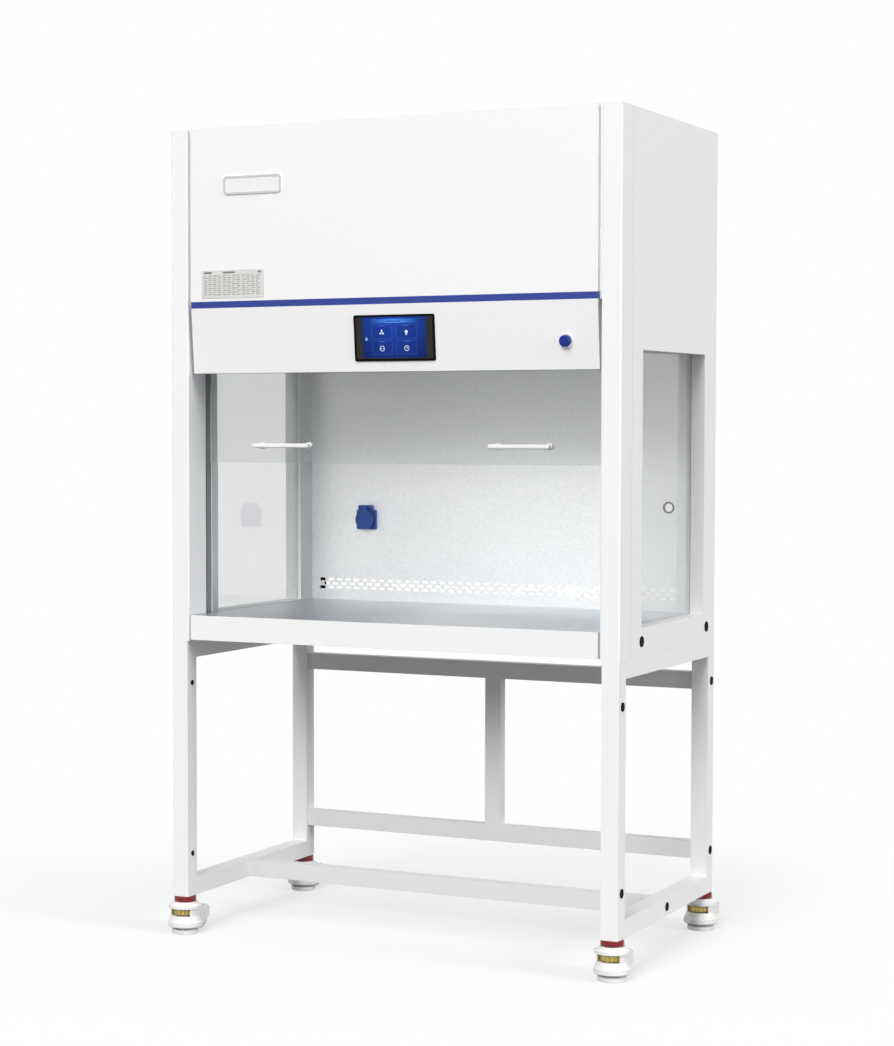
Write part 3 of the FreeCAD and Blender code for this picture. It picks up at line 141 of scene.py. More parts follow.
# Powder-coated sheet steel: sprayed and baked, so a faint orange peel breaks up its soft gloss
def powderCoatedSteel(name="powderCoatedSteel", colour="#F5F5F5"):
    look = {"roughness": 0.36, "smoother": 0.04, "rougher": 0.05, "cloudsPerMetre": 6.0,
            "peelSpacing": 2.4 * mm, "peelStrength": 0.05, "peelDepth": 0.1 * mm, "edgeRadius": 1.0 * mm}
    material = newMaterial(name)
    peel = noise(material, 1 / look["peelSpacing"], 2.0, 0.4)
    cloud = noise(material, look["cloudsPerMetre"], 2.0)
    edge = roundedEdge(material, look["edgeRadius"])
    return principled(material, {"Base Color": linear(colour), "IOR": 1.5}, {
        "Roughness": gloss(material, cloud, look["roughness"], look["smoother"], look["rougher"]),
        "Normal": relief(material, peel, look["peelStrength"], look["peelDepth"], edge)})


# Stainless worktop, brushed along its length: long fine streaks stretch each reflection
def brushedStainless(name="brushedStainless", dark="#A4A9AF", pale="#C4C8CD"):
    look = {"streaksPerMetre": 6.0, "acrossSpacing": 1.25 * mm, "upSpacing": 5 * mm,
            "roughness": 0.34, "smoother": 0.06, "rougher": 0.10, "strength": 0.08, "depth": 0.05 * mm}
    material = newMaterial(name)
    place = addNode(material, "TexCoord")
    stretch = (look["streaksPerMetre"], 1 / look["acrossSpacing"], 1 / look["upSpacing"])
    along = addNode(material, "Mapping", {"Scale": stretch}, {"Vector": place.outputs["Object"]})
    texture = addNode(material, "TexNoise", {"Scale": 1.0, "Detail": 4.0, "Roughness": 0.6},
                      {"Vector": along.outputs["Vector"]})
    streaks = texture.outputs["Fac"]
    return principled(material, {"Metallic": 1.0, "Anisotropic": 0.5}, {
        "Base Color": mixedColour(material, dark, pale, streaks),
        "Roughness": gloss(material, streaks, look["roughness"], look["smoother"], look["rougher"]),
        "Normal": relief(material, streaks, look["strength"], look["depth"])})


# Stainless back wall, glass-bead blasted: a fine grey speckle with no direction
def blastedStainless():
    look = {"dark": "#DDDEDF", "pale": "#F6F6F6", "grain": 3.0 * mm, "roughness": 0.5,
            "darkFrom": 0.3, "paleFrom": 0.7, "strength": 0.15, "depth": 0.1 * mm}
    material = newMaterial("blastedStainless")
    speckle = noise(material, 1 / look["grain"], 5.0, 0.75)
    sharper = addNode(material, "MapRange", {"From Min": look["darkFrom"], "From Max": look["paleFrom"]},
                      {"Value": speckle})
    return principled(material, {"Metallic": 1.0, "Roughness": look["roughness"]}, {
        "Base Color": mixedColour(material, look["dark"], look["pale"], sharper.outputs["Result"]),
        "Normal": relief(material, speckle, look["strength"], look["depth"])})


# Float glass: a clear pane, or one tinted grey; light and shadows pass through it
def floatGlass(name, tint):
    look = {"ior": 1.5, "haze": 0.02, "hazeScale": 14.0}
    material = newMaterial(name)
    ray = addNode(material, "LightPath")
    fleck = addNode(material, "TexNoise", {"Scale": look["hazeScale"], "Detail": 2.0})
    haze = addNode(material, "MapRange", {"To Min": 0.0, "To Max": look["haze"]},
                   {"Value": fleck.outputs["Fac"]})
    pane = addNode(material, "BsdfPrincipled",
                   {"Base Color": linear(tint), "IOR": look["ior"], "Transmission Weight": 1.0},
                   {"Roughness": haze.outputs["Result"]})
    clear = addNode(material, "BsdfTransparent", {"Color": linear(tint)})
    indirect = larger(material, ray.outputs["Is Shadow Ray"], ray.outputs["Is Diffuse Ray"])
    mixed = addNode(material, "MixShader",
                    links={0: indirect, 1: pane.outputs["BSDF"], 2: clear.outputs["BSDF"]})
    return finishMaterial(material, mixed.outputs["Shader"])


# Moulded plastics, enamels, fleece and rubber: one fine grain, its depth and gloss by kind
def mouldedPlastic(name, colour, roughness, grain=0.8 * mm, depth=0.05 * mm, ior=1.46, sheen=0.5):
    look = {"smoother": 0.05, "rougher": 0.06, "strength": 0.2, "edgeRadius": 0.4 * mm}
    material = newMaterial(name)
    texture = noise(material, 1 / grain, 3.0)
    edge = roundedEdge(material, look["edgeRadius"])
    return principled(material, {"Base Color": linear(colour), "IOR": ior, "Specular IOR Level": sheen}, {
        "Roughness": gloss(material, texture, roughness, look["smoother"], look["rougher"]),
        "Normal": relief(material, texture, look["strength"], depth, edge)})


# Bare metals: machined, plated or cast; the grain runs in no direction and its size tells them apart
def bareMetal(name, colour, roughness, grain=1.0 * mm, spread=0.08):
    look = {"strength": 0.1, "depth": 0.05 * mm}
    material = newMaterial(name)
    texture = noise(material, 1 / grain, 4.0)
    return principled(material, {"Base Color": linear(colour), "Metallic": 1.0}, {
        "Roughness": gloss(material, texture, roughness, spread / 2, spread),
        "Normal": relief(material, texture, look["strength"], look["depth"])})


# Lit picture behind the touch panel's glass: it glows, and changes colour away from a bright point
def litPicture(name, near, far, glow, centre=(0, 0, 0), reach=1.0):
    look = {"roughness": 0.2, "sheen": 0.1}
    material = newMaterial(name)
    fade = addNode(material, "MapRange", {"From Max": reach}, {"Value": distanceFrom(material, centre)})
    tone = mixedColour(material, near, far, fade.outputs["Result"])
    return principled(material, {"Roughness": look["roughness"], "Specular IOR Level": look["sheen"],
                                 "Emission Strength": glow},
                      {"Base Color": tone, "Emission Color": tone})


# One finish for each material slot; the two enamels are fired or sprayed smooth, so their grain is wide
finish = {
    "white_powder_coat": powderCoatedSteel(),
    "brushed_stainless": brushedStainless(),
    "window_glass": floatGlass("clearFloatGlass", "#E3E4E4"),
    "black_plastic": mouldedPlastic("blackAbs", "#060606", 0.6, sheen=0.08),
    "grey_guide_plastic": mouldedPlastic("greyAcetal", "#858789", 0.5),
    "red_collar": mouldedPlastic("redNylon", "#79121A", 0.22),
    "blue_enamel": mouldedPlastic("blueEnamel", "#2A3F94", 0.3, 2.0 * mm, 0.02 * mm),
    "white_enamel_plate": mouldedPlastic("whiteEnamel", "#F1F1F2", 0.2, 2.0 * mm, 0.02 * mm),
    "anodised_plate": bareMetal("anodisedAluminium", "#CDCCC9", 0.55, 0.6 * mm),
    "display_glass": mouldedPlastic("blackDisplayGlass", "#0B0B0B", 0.08, 5.0 * mm, 0.002 * mm, 1.5),
    "polished_steel": bareMetal("polishedSteel", "#E3E4E6", 0.14, 2.0 * mm, 0.04),
    "blue_plastic": mouldedPlastic("bluePolycarbonate", "#172C84", 0.45, sheen=0.3),
    "white_plastic": mouldedPlastic("whiteAbs", "#F3F3F3", 0.34),
    "zinc_plated_steel": bareMetal("zincPlatedSteel", "#C4C6C8", 0.34),
    "steel_wire": bareMetal("steelWire", "#9DA0A2", 0.35, 0.4 * mm),
    "cast_weight": bareMetal("castIron", "#6E7072", 0.55, 1.5 * mm),
    "filter_fleece": mouldedPlastic("filterFleece", "#E9E9E4", 0.9, 1.2 * mm, 0.4 * mm),
    "lamp_plastic": mouldedPlastic("whitePolycarbonate", "#F2F4F6", 0.3),
    "galvanised_sheet": bareMetal("galvanisedSheet", "#B9BCBE", 0.4, 12.0 * mm, 0.12),
    "motor_casting": bareMetal("castAluminium", "#8C8E90", 0.55, 1.5 * mm),
    "blue_socket_plastic": mouldedPlastic("bluePolyamide", "#34519C", 0.4),
    "black_rubber": mouldedPlastic("blackRubber", "#070707", 0.75, sheen=0.08),
    "white_caster_plastic": mouldedPlastic("whitePolyamide", "#EDEDEB", 0.35),
    "nylon_wheel": mouldedPlastic("whiteNylon", "#DAD9D4", 0.4),
    "brass_thumbwheel": bareMetal("yellowZinc", "#BCA766", 0.4),
    "grey_foot_rubber": mouldedPlastic("greyRubber", "#EFEFED", 0.6),
}

# Nodes that look different from the rest of their slot
ownFinish = {
    "sash_glass": floatGlass("tintedFloatGlass", "#EDEEEE"),
    "back_wall": blastedStainless(),
    # The stand's rear frame and lower cross rail take a greyer copy of the white powder coat: painted
    # shade, for the shade under the cabinet
    "rear_frame": powderCoatedSteel("shadedPowderCoatTube", "#E6E6E6"),
}
ownFinish["lower_cross_rail"] = ownFinish["rear_frame"]
liningSteel = brushedStainless("brushedLiningSteel", "#A8AAAC", "#BEC0C2")

slots = {part["node"]: part["material_slot"] for part in frame["record"]["subparts"]}
for name, node in nodes.items():
    look = ownFinish.get(name, finish[slots[name]])
    for holder in node.material_slots:
        holder.material = look
    if not node.material_slots:
        node.data.materials.append(look)
print("stage: finishes assigned")


# Shapes: outlines are lists of (u, v) points, and a plane carries them into the frame

# A plane by its middle, the way across it and the way up it; the third way points out of it
def plane(middle, across, up):
    across = Vector(across).normalized()
    up = Vector(up).normalized()
    turn = Matrix((across, up, across.cross(up))).transposed().to_4x4()
    return Matrix.Translation(middle) @ turn


def frontPlane(middle):
    return plane(middle, (1, 0, 0), (0, 0, 1))


# The front of a box: its plane, its width and its height
def frontFace(low, high):
    middle = ((low.x + high.x) / 2, low.y, (low.z + high.z) / 2)
    return frontPlane(middle), high.x - low.x, high.z - low.z


def rectangle(width, height, corner=0.0, u=0.0, v=0.0):
    if corner <= 0:
        return [(u + a * width / 2, v + b * height / 2) for a, b in ((1, -1), (1, 1), (-1, 1), (-1, -1))]
    steps = 6
    points = []
    for quarter, (a, b) in enumerate(((1, 1), (-1, 1), (-1, -1), (1, -1))):
        for step in range(steps + 1):
            angle = math.pi / 2 * (quarter + step / steps)
            points.append((u + a * (width / 2 - corner) + corner * math.cos(angle),
                           v + b * (height / 2 - corner) + corner * math.sin(angle)))
    return points


def circle(radius, steps, u=0.0, v=0.0):
    return [(u + radius * math.cos(2 * math.pi * step / steps),
             v + radius * math.sin(2 * math.pi * step / steps)) for step in range(steps)]


def addObject(name, data):
    thing = bpy.data.objects.new(name, data)
    bpy.context.scene.collection.objects.link(thing)
    return thing


# Makes a piece of a finished mesh; without a body it is left unattached
def addPiece(name, build, material, body="root"):
    mesh = bpy.data.meshes.new(name)
    bmesh.ops.recalc_face_normals(build, faces=build.faces)
    build.to_mesh(mesh)
    build.free()
    piece = addObject(name, mesh)
    piece.data.materials.append(material)
    if body:
        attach(piece, body)
    return piece


# Adds one prism to a mesh, from one height to another: an outline, or an outline with a hole
# of as many points
def addPrism(build, where, outline, low, high, hole=None):
    levels = []
    for points in ([outline, hole] if hole else [outline]):
        for height in (low, high):
            levels.append([build.verts.new(where @ Vector((u, v, height))) for u, v in points])
    if hole:
        pairs = [(levels[0], levels[1]), (levels[1], levels[3]),
                 (levels[3], levels[2]), (levels[2], levels[0])]
    else:
        pairs = [(levels[0], levels[1])]
        build.faces.new(levels[0][::-1])
        build.faces.new(levels[1])
    for first, second in pairs:
        for here in range(len(first)):
            there = (here + 1) % len(first)
            build.faces.new((first[here], first[there], second[there], second[here]))


# Adds one turned solid to a mesh: a profile of (radius, height) points about the plane's outward way
def addTurned(build, where, profile, steps=24):
    rings = []
    for radius, height in profile:
        points = circle(radius, steps) if radius > 0 else [(0, 0)]
        rings.append([build.verts.new(where @ Vector((u, v, height))) for u, v in points])
    for first, second in zip(rings, rings[1:]):
        for here in range(steps):
            there = (here + 1) % steps
            corners = [first[here % len(first)], first[there % len(first)],
                       second[there % len(second)], second[here % len(second)]]
            unique = list(dict.fromkeys(corners))
            if len(unique) > 2:
                build.faces.new(unique)


# The picture on the touch panel: a blue page with a header, four tiles with their signs, a side mark
def touchPicture():
    page = {
        "width": 154 * mm, "height": 90 * mm, "lift": 0.15 * mm, "layer": 0.1 * mm, "rise": 1 * mm,
        "headerWidth": 116 * mm, "headerHeight": 9 * mm, "titleWidth": 34 * mm, "titleHeight": 3 * mm,
        "tileWidth": 50 * mm, "tileHeight": 31 * mm, "tileAcross": 60 * mm, "tileUp": 35 * mm,
        "tileDrop": 9 * mm, "tileLine": 0.8 * mm, "tileCorner": 2 * mm, "signDrop": 2 * mm,
        "captionWidth": 15 * mm, "captionHeight": 2.4 * mm, "captionRise": 13 * mm,
        "markWidth": 6 * mm, "markHeight": 7 * mm, "markCorner": 1 * mm, "markInset": 9 * mm,
        "markDrop": 3 * mm, "hoodRecess": 14 * mm,
    }
    hoodLow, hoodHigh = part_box("control_hood")
    low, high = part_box("touch_display")
    slant = math.atan2(page["hoodRecess"], hoodHigh.z - hoodLow.z)
    up = Vector((0, -math.sin(slant), math.cos(slant)))
    tall, deep = high.z - low.z, high.y - low.y
    thickness = (deep * math.cos(slant) - tall * math.sin(slant)) / math.cos(2 * slant)
    face = plane((low + high) / 2 + up * page["rise"], (1, 0, 0), up)
    top = thickness / 2
    first = top + page["lift"]
    second = first + page["layer"]
    third = second + page["layer"]

    width, height = page["width"], page["height"]
    bright = face @ Vector((0, height / 2, top))
    looks = {
        "touchPage": litPicture("litBluePage", "#1C46AC", "#0C1B50", 0.2, bright, 0.8 * width),
        "touchHeader": litPicture("litBlueHeader", "#4A88E0", "#153080", 0.3, bright, 0.4 * width),
        "touchTiles": litPicture("litTileBlue", "#1B3F9A", "#14307E", 0.15, bright, 0.5 * width),
        "touchLines": litPicture("litPaleLines", "#3A62B6", "#2A4FA4", 0.2, bright, 0.5 * width),
        "touchSigns": litPicture("litWhiteSigns", "#D9E2F5", "#D9E2F5", 0.2),
        "touchSideMark": litPicture("litCyanMark", "#6FA6C4", "#6FA6C4", 0.2),
    }
    layers = {name: bmesh.new() for name in looks}

    addPrism(layers["touchPage"], face, rectangle(width, height), top, first)
    headerMiddle = height / 2 - page["headerHeight"]
    header = rectangle(page["headerWidth"], page["headerHeight"], v=headerMiddle)
    addPrism(layers["touchHeader"], face, header, first, second)
    tileWidth, tileHeight = page["tileWidth"], page["tileHeight"]
    corner, line = page["tileCorner"], page["tileLine"]
    for column in (-1, 1):
        for row in (-1, 1):
            u = column * page["tileAcross"] / 2
            v = row * page["tileUp"] / 2 - page["tileDrop"] / 2
            tile = rectangle(tileWidth, tileHeight, corner, u, v)
            inside = rectangle(tileWidth - 2 * line, tileHeight - 2 * line, corner - line, u, v)
            caption = rectangle(page["captionWidth"], page["captionHeight"], u=u, v=v + page["captionRise"])
            addPrism(layers["touchTiles"], face, tile, first, second)
            addPrism(layers["touchLines"], face, tile, second, third, inside)
            addPrism(layers["touchLines"], face, caption, second, third)
            addSign(layers["touchSigns"], face, (column, row), u, v - page["signDrop"], second, third)
    title = rectangle(page["titleWidth"], page["titleHeight"], v=headerMiddle)
    addPrism(layers["touchLines"], face, title, second, third)
    mark = rectangle(page["markWidth"], page["markHeight"], page["markCorner"],
                     page["markInset"] - width / 2, -page["markDrop"])
    addPrism(layers["touchSideMark"], face, mark, first, second)
    for name, build in layers.items():
        addPiece(name, build, looks[name])


# One sign in a tile: a fan and a lamp above, a mains plug and a clock below
def addSign(build, face, which, u, v, low, high):
    sign = {
        "hub": 1.4 * mm, "blade": 2.1 * mm, "bladeReach": 4 * mm,
        "bulb": 3.6 * mm, "bulbRise": 1 * mm, "capHeight": 3 * mm, "capDrop": 4.4 * mm,
        "ring": 6 * mm, "ringLine": 1.2 * mm, "pin": 1.1 * mm, "pinOffset": 2.2 * mm,
        "hand": 1.1 * mm, "longHand": 4 * mm, "shortHand": 3 * mm,
    }
    outlines = []
    if which == (-1, 1):
        outlines.append(circle(sign["hub"], 16, u, v))
        for blade in range(3):
            angle = math.radians(90 + 120 * blade)
            outlines.append(circle(sign["blade"], 16, u + sign["bladeReach"] * math.cos(angle),
                                   v + sign["bladeReach"] * math.sin(angle)))
    if which == (1, 1):
        outlines.append(circle(sign["bulb"], 24, u, v + sign["bulbRise"]))
        outlines.append(rectangle(sign["bulb"], sign["capHeight"], u=u, v=v - sign["capDrop"]))
    if which == (-1, -1):
        outlines += [circle(sign["pin"], 16, u + side * sign["pinOffset"], v) for side in (-1, 1)]
    if which == (1, -1):
        outlines.append(rectangle(sign["hand"], sign["longHand"], u=u, v=v + sign["longHand"] / 2))
        outlines.append(rectangle(sign["shortHand"], sign["hand"], u=u + sign["shortHand"] / 2, v=v))
    if which[1] < 0:
        addPrism(build, face, circle(sign["ring"], 32, u, v), low, high,
                 circle(sign["ring"] - sign["ringLine"], 32, u, v))
    for outline in outlines:
        addPrism(build, face, outline, low, high)


# A satin metal rim round the bare name plate
def badgeRim():
    rim = {"width": 5 * mm, "rise": 0.9 * mm, "corner": 9 * mm}
    low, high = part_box("badge_plate")
    face, width, height = frontFace(low, high)
    inside = rectangle(width - 2 * rim["width"], height - 2 * rim["width"], rim["corner"] - rim["width"])
    build = bmesh.new()
    addPrism(build, face, rectangle(width, height, rim["corner"]), 0, rim["rise"], inside)
    satin = bareMetal("satinChrome", "#C6C7C9", 0.42, 0.8 * mm)
    addPiece("badgeRim", build, satin)


# Rows of short grey bars on the data plate stand for its printing, and hold no words
def dataPlatePrint():
    look = {"margin": 6 * mm, "headShares": (0.42, 0.62, 0.18), "head": 4.2 * mm, "firstRow": 1.6,
            "rows": 10, "bar": 2.2 * mm, "words": 4, "gap": 1.6 * mm, "lift": 0.06 * mm,
            "shortest": 0.35, "spread": 0.5, "rowTurn": 1.7, "blockTurn": 2.3, "wordTurn": 4.1}
    low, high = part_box("data_plate")
    face, width, height = frontFace(low, high)
    width -= 2 * look["margin"]
    height -= 2 * look["margin"]
    ink = mouldedPlastic("greyPrintingInk", "#A6A4A1", 0.6)
    darkInk = mouldedPlastic("darkPrintingInk", "#7C7C7C", 0.6)
    bars = bmesh.new()
    heads = bmesh.new()
    blocks = len(look["headShares"])
    blockWidth = width / blocks
    for block, share in enumerate(look["headShares"]):
        left = -width / 2 + block * blockWidth
        headWidth = blockWidth * share
        # The last heading ends at the right margin, the others begin with their block
        headMiddle = left + headWidth / 2 if block < blocks - 1 else width / 2 - headWidth / 2
        heading = rectangle(headWidth, look["head"], u=headMiddle, v=height / 2)
        addPrism(heads, face, heading, 0, look["lift"])
        for row in range(look["rows"]):
            v = height / 2 - look["head"] * look["firstRow"] - row * (height - look["head"]) / look["rows"]
            for word in range(look["words"]):
                turn = look["rowTurn"] * row + look["blockTurn"] * block + look["wordTurn"] * word
                fill = look["shortest"] + look["spread"] * abs(math.sin(turn))
                barWidth = blockWidth / look["words"] * fill
                start = left + word * (blockWidth - look["gap"]) / look["words"]
                bar = rectangle(barWidth, look["bar"], u=start + barWidth / 2, v=v)
                addPrism(bars, face, bar, 0, look["lift"])
    addPiece("dataPlateBars", bars, ink)
    addPiece("dataPlateHeads", heads, darkInk)


# Stainless lining sheets on the side walls, each cut out for its window
def wallLinings():
    sheet = {"thickness": 0.5 * mm, "gap": 0.3 * mm}
    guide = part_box("sash_guides")
    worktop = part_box("worktop")
    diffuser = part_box("ceiling_diffuser")
    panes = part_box("side_windows")
    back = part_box("back_wall")
    front, rear = guide[1].y + sheet["gap"], back[0].y - sheet["gap"]
    bottom, top = worktop[1].z + sheet["gap"], diffuser[0].z
    for side, name in ((-1, "liningLeft"), (1, "liningRight")):
        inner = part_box("side_wall_right")[0].x if side > 0 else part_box("side_wall_left")[1].x
        face = plane((inner, 0, 0), (0, -side, 0), (0, 0, 1))
        outline = wallOutline(side, front, rear, bottom, top)
        hole = wallOutline(side, panes[0].y, panes[1].y, panes[0].z, panes[1].z)
        build = bmesh.new()
        addPrism(build, face, outline, 0, sheet["thickness"], hole)
        addPiece(name, build, liningSteel)


# The corners of an upright rectangle on a side wall, from its limits in y and z
def wallOutline(side, front, rear, bottom, top):
    return [(-side * y, z) for y, z in ((front, bottom), (rear, bottom), (rear, top), (front, top))]


# Pan-head screws hold the rear cover along its edges
def coverScrews():
    screw = {"radius": 4.2 * mm, "rise": 1.6 * mm, "inset": 14 * mm, "columns": 6, "rows": 3}
    # Shares of radius and rise: up the rim, over the crown and down into the recess
    shares = ((1, 0), (1, 0.5), (0.8, 0.9), (0.45, 1), (0.4, 0.45), (0, 0.4))
    profile = [(screw["radius"] * out, screw["rise"] * rise) for out, rise in shares]
    low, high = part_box("rear_cover")
    width = high.x - low.x - 2 * screw["inset"]
    height = high.z - low.z - 2 * screw["inset"]
    lastColumn, lastRow = screw["columns"] - 1, screw["rows"] - 1
    build = bmesh.new()
    for column in range(screw["columns"]):
        for row in range(screw["rows"]):
            if 0 < column < lastColumn and 0 < row < lastRow:
                continue
            x = low.x + screw["inset"] + column * width / lastColumn
            z = low.z + screw["inset"] + row * height / lastRow
            addTurned(build, plane((x, high.y, z), (-1, 0, 0), (0, 0, 1)), profile)
    addPiece("rearCoverScrews", build, finish["zinc_plated_steel"])


# Folded filter paper inside a box's rim: ridges run from front to back between two levels
def pleats(name, low, high, rim, fold, crest, pitch):
    left, right = low.x + rim, high.x - rim
    front, rear = low.y + rim, high.y - rim
    count = int((right - left) / pitch)
    step = (right - left) / (2 * count)
    build = bmesh.new()
    edge = []
    for here in range(2 * count + 1):
        z = crest if here % 2 else fold
        edge.append([build.verts.new((left + here * step, y, z)) for y in (front, rear)])
    for first, second in zip(edge, edge[1:]):
        build.faces.new((first[0], second[0], second[1], first[1]))
    addPiece(name, build, finish["filter_fleece"])


def filterPleats():
    paper = {"hepaRim": 18 * mm, "hepaRecess": 4 * mm, "hepaPitch": 8 * mm, "clear": 0.3 * mm,
             "intakeRim": 16 * mm, "intakeRecess": 5 * mm, "intakePitch": 14 * mm}
    low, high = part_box("hepa_filter")
    pleats("hepaPleats", low, high, paper["hepaRim"], low.z + paper["hepaRecess"] - paper["clear"],
           low.z + paper["clear"], paper["hepaPitch"])
    low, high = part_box("prefilter")
    pleats("prefilterPleats", low, high, paper["intakeRim"],
           high.z - paper["intakeRecess"] + paper["clear"], high.z - paper["clear"], paper["intakePitch"])


# A wire guard lies across the air intake, its wires welded to the opening's edge
def intakeGuard():
    guard = {"wireRadius": 0.8 * mm, "pitch": 15 * mm, "rim": 16 * mm, "drop": 1.2 * mm, "weld": 0.4,
             "sides": 8}
    low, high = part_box("prefilter")
    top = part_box("top_cover")[1].z
    left, right = low.x + guard["rim"], high.x - guard["rim"]
    front, rear = low.y + guard["rim"], high.y - guard["rim"]
    level = top - guard["drop"]
    wire = circle(guard["wireRadius"], guard["sides"])
    build = bmesh.new()
    rows = int((rear - front) / guard["pitch"])
    for row in range(1, rows):
        y = front + row * (rear - front) / rows
        addPrism(build, plane((left, y, level), (0, 1, 0), (0, 0, 1)), wire, 0, right - left)
    for x in (left / 2, 0, right / 2):
        where = frontPlane((x, rear, level - guard["wireRadius"] * guard["weld"]))
        addPrism(build, where, wire, 0, rear - front)
    addPiece("intakeGuard", build, finish["steel_wire"])


# White strips close the gaps beside the upper panel, set back from its face
def gapStrips():
    strip = {"setback": 12 * mm, "thickness": 1.5 * mm}
    low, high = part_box("front_upper_panel")
    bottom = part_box("blue_stripe")[0].z
    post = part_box("post_front_right")[0].x
    outline = rectangle(post - high.x, high.z - bottom)
    for side, name in ((-1, "gapStripLeft"), (1, "gapStripRight")):
        middle = Vector((side * (high.x + post) / 2, low.y + strip["setback"], (bottom + high.z) / 2))
        build = bmesh.new()
        addPrism(build, frontPlane(middle), outline, -strip["thickness"], 0)
        addPiece(name, build, finish["white_powder_coat"])


# Satin sleeves over the posts of the sash handles
def handleSleeves():
    sleeve = {"radius": 5 * mm, "wall": 0.9 * mm, "length": 11 * mm, "standOff": 3 * mm, "sides": 24}
    handle = {"offset": 295 * mm, "halfLength": 72.5 * mm, "postInset": 12 * mm, "rise": 40 * mm}
    low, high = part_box("sash_glass")
    outline = circle(sleeve["radius"], sleeve["sides"])
    bore = circle(sleeve["radius"] - sleeve["wall"], sleeve["sides"])
    build = bmesh.new()
    for side in (-1, 1):
        for end in (-1, 1):
            x = side * handle["offset"] + end * (handle["halfLength"] - handle["postInset"])
            where = frontPlane((x, low.y - sleeve["standOff"], low.z + handle["rise"]))
            addPrism(build, where, outline, 0, sleeve["length"], bore)
    addPiece("handleSleeves", build, finish["zinc_plated_steel"], "sash")


# A black plate behind the first slots of the back wall: painted shade, so those slots look dark inside
def slotShadePlate():
    shadeBacking = {"left": -485 * mm, "right": -466 * mm, "bottom": 768 * mm, "top": 803 * mm,
            "skin": 2 * mm, "gap": 0.5 * mm, "thickness": 1.5 * mm, "corner": 2 * mm}
    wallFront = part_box("back_wall")[0].y
    middle = Vector(((shadeBacking["left"] + shadeBacking["right"]) / 2, wallFront + shadeBacking["skin"] + shadeBacking["gap"],
                     (shadeBacking["bottom"] + shadeBacking["top"]) / 2))
    outline = rectangle(shadeBacking["right"] - shadeBacking["left"], shadeBacking["top"] - shadeBacking["bottom"], shadeBacking["corner"])
    build = bmesh.new()
    addPrism(build, frontPlane(middle), outline, -shadeBacking["thickness"], 0)
    addPiece("slotShadePlate", build, finish["black_plastic"])


# Wire ropes of the sash and its counterweights, each between its load and its pulley; they are left
# unattached
def ropes():
    sides = 16
    loads = (("sashRopes", "sash_wires", "sash"), ("weightRopes", "weight_wires", "counterweights"))
    for name, node, load in loads:
        low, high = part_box(node)
        radius = (high.y - low.y) / 2
        bottom = Vector((0, low.y + radius, low.z))
        build = bmesh.new()
        for side in (-1, 1):
            across = Vector((side * (high.x - radius), 0, 0))
            where = plane(bottom + across, (1, 0, 0), (0, 1, 0))
            addPrism(build, where, circle(radius, sides), 0, high.z - low.z)
        piece = addPiece(name, build, finish["steel_wire"], None)
        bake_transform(piece)
        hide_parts(node)


touchPicture()
badgeRim()
dataPlatePrint()
wallLinings()
coverScrews()
filterPleats()
intakeGuard()
gapStrips()
handleSleeves()
slotShadePlate()
ropes()
print("stage: small pieces")


# 1 for rays that come from the camera, a shiny surface or glass, and 0 for rays that carry light
def seenDirectly(material):
    ray = addNode(material, "LightPath")
    first = larger(material, ray.outputs["Is Camera Ray"], ray.outputs["Is Glossy Ray"])
    return larger(material, first, ray.outputs["Is Transmission Ray"])


# The level of the white surroundings: 1 seen directly or through glass, less in gloss and as light
def levelByRay(holder, forLight, inGloss):
    ray = addNode(holder, "LightPath")
    through = larger(holder, ray.outputs["Is Camera Ray"], ray.outputs["Is Transmission Ray"])
    shiny = addNode(holder, "MapRange", {"To Min": forLight, "To Max": inGloss},
                    {"Value": ray.outputs["Is Glossy Ray"]})
    return larger(holder, shiny.outputs["Result"], through)


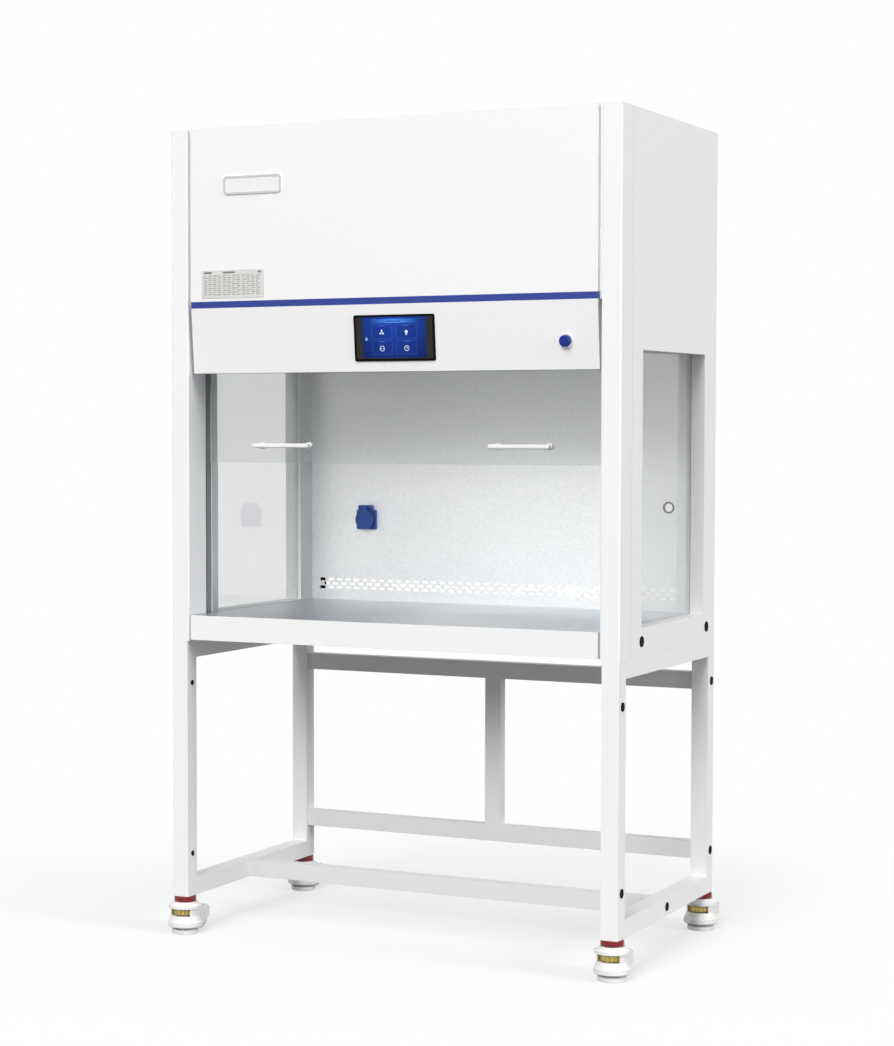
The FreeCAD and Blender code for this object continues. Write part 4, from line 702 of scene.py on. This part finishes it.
# Studio: a white floor that fades into the white world, and three big soft lamps far away
def studio():
    look = {"floorSize": 60.0, "floorSeen": "#ABABAB", "floorForLight": "#727272", "nearLift": 0.57,
            "fadeMiddle": (0, -0.7, 0), "fadeFrom": 1.0, "fadeTo": 2.6,
            "skyForLight": 0.45, "skyInGloss": 0.78, "farFloorForLight": 0.16, "white": "#FFFFFF",
            "lampDistance": 30.0, "lampAim": (0, 0, 0.9)}
    mesh = bpy.data.meshes.new("studioFloor")
    half = look["floorSize"] / 2
    corners = [(-half, -half, 0), (half, -half, 0), (half, half, 0), (-half, half, 0)]
    mesh.from_pydata(corners, [], [(0, 1, 2, 3)])
    floor = addObject("studioFloor", mesh)
    material = newMaterial("paintedStudioFloor")
    fade = addNode(material, "MapRange", {"interpolation_type": "SMOOTHSTEP", "From Min": look["fadeFrom"],
                                          "From Max": look["fadeTo"]},
                   {"Value": distanceFrom(material, look["fadeMiddle"])})
    lift = addNode(material, "Math", {"operation": "MULTIPLY", 0: look["nearLift"]},
                   {1: seenDirectly(material)})
    tone = mixedColour(material, look["floorForLight"], look["floorSeen"], seenDirectly(material))
    grey = addNode(material, "BsdfDiffuse", {}, {"Color": tone})
    glow = addNode(material, "Emission", {"Color": linear(look["white"])}, {"Strength": lift.outputs[0]})
    near = addNode(material, "AddShader", links={0: grey.outputs["BSDF"], 1: glow.outputs["Emission"]})
    far = addNode(material, "Emission", {"Color": linear(look["white"])},
                  {"Strength": levelByRay(material, look["farFloorForLight"], look["skyInGloss"])})
    faded = addNode(material, "MixShader", links={0: fade.outputs["Result"], 1: near.outputs["Shader"],
                                                  2: far.outputs["Emission"]})
    finishMaterial(material, faded.outputs["Shader"])
    floor.data.materials.append(material)

    world = bpy.data.worlds.new("studioWorld")
    bpy.context.scene.world = world
    world.use_nodes = True
    world.node_tree.nodes.clear()
    sky = addNode(world, "Background", {"Color": linear(look["white"])},
                  {"Strength": levelByRay(world, look["skyForLight"], look["skyInGloss"])})
    addNode(world, "OutputWorld", links={"Surface": sky.outputs["Background"]})

    # Bearings are degrees round from the front towards the right, heights are degrees above the floor
    lamps = {
        "frontLamp": {"bearing": 2, "height": 26, "size": 13.0, "power": 5300},
        "topLamp": {"bearing": 0, "height": 55, "size": 18.0, "power": 1900},
        "rightLamp": {"bearing": 85, "height": 19, "size": 12.0, "power": 4570},
    }
    for name, lamp in lamps.items():
        light = bpy.data.lights.new(name, "AREA")
        light.shape = "DISK"
        light.size = lamp["size"]
        light.energy = lamp["power"]
        holder = addObject(name, light)
        bearing, height = math.radians(lamp["bearing"]), math.radians(lamp["height"])
        way = Vector((math.cos(height) * math.sin(bearing), -math.cos(height) * math.cos(bearing),
                      math.sin(height)))
        holder.location = Vector(look["lampAim"]) + way * look["lampDistance"]
        holder.rotation_euler = way.to_track_quat("Z", "Y").to_euler()


# Camera at the photograph's place; its frame is 894 pixels wide and 1046 high
def photoCamera():
    shot = {
        "right": 2.3263, "inFront": 4.7336, "up": 1.1862, "yaw": 27.062, "pitch": -2.983,
        "focalPixels": 2390.07, "frameWidth": 894, "frameHeight": 1046,
        "centreX": 348.45, "centreY": 548.56, "sensor": 36.0, "farLimit": 100,
    }
    data = bpy.data.cameras.new("photoCamera")
    data.sensor_fit = "HORIZONTAL"
    data.sensor_width = shot["sensor"]
    data.lens = shot["sensor"] * shot["focalPixels"] / shot["frameWidth"]
    data.shift_x = (shot["frameWidth"] / 2 - shot["centreX"]) / shot["frameWidth"]
    data.shift_y = (shot["centreY"] - shot["frameHeight"] / 2) / shot["frameWidth"]
    data.clip_end = shot["farLimit"]
    camera = addObject("photoCamera", data)
    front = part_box("front_upper_panel")[0].y
    camera.location = (shot["right"], front - shot["inFront"], shot["up"])
    camera.rotation_euler = (math.radians(90 + shot["pitch"]), 0, math.radians(shot["yaw"]))
    bpy.context.scene.camera = camera


studio()
photoCamera()
bpy.context.scene.view_settings.view_transform = "Standard"
print("stage: studio and camera")
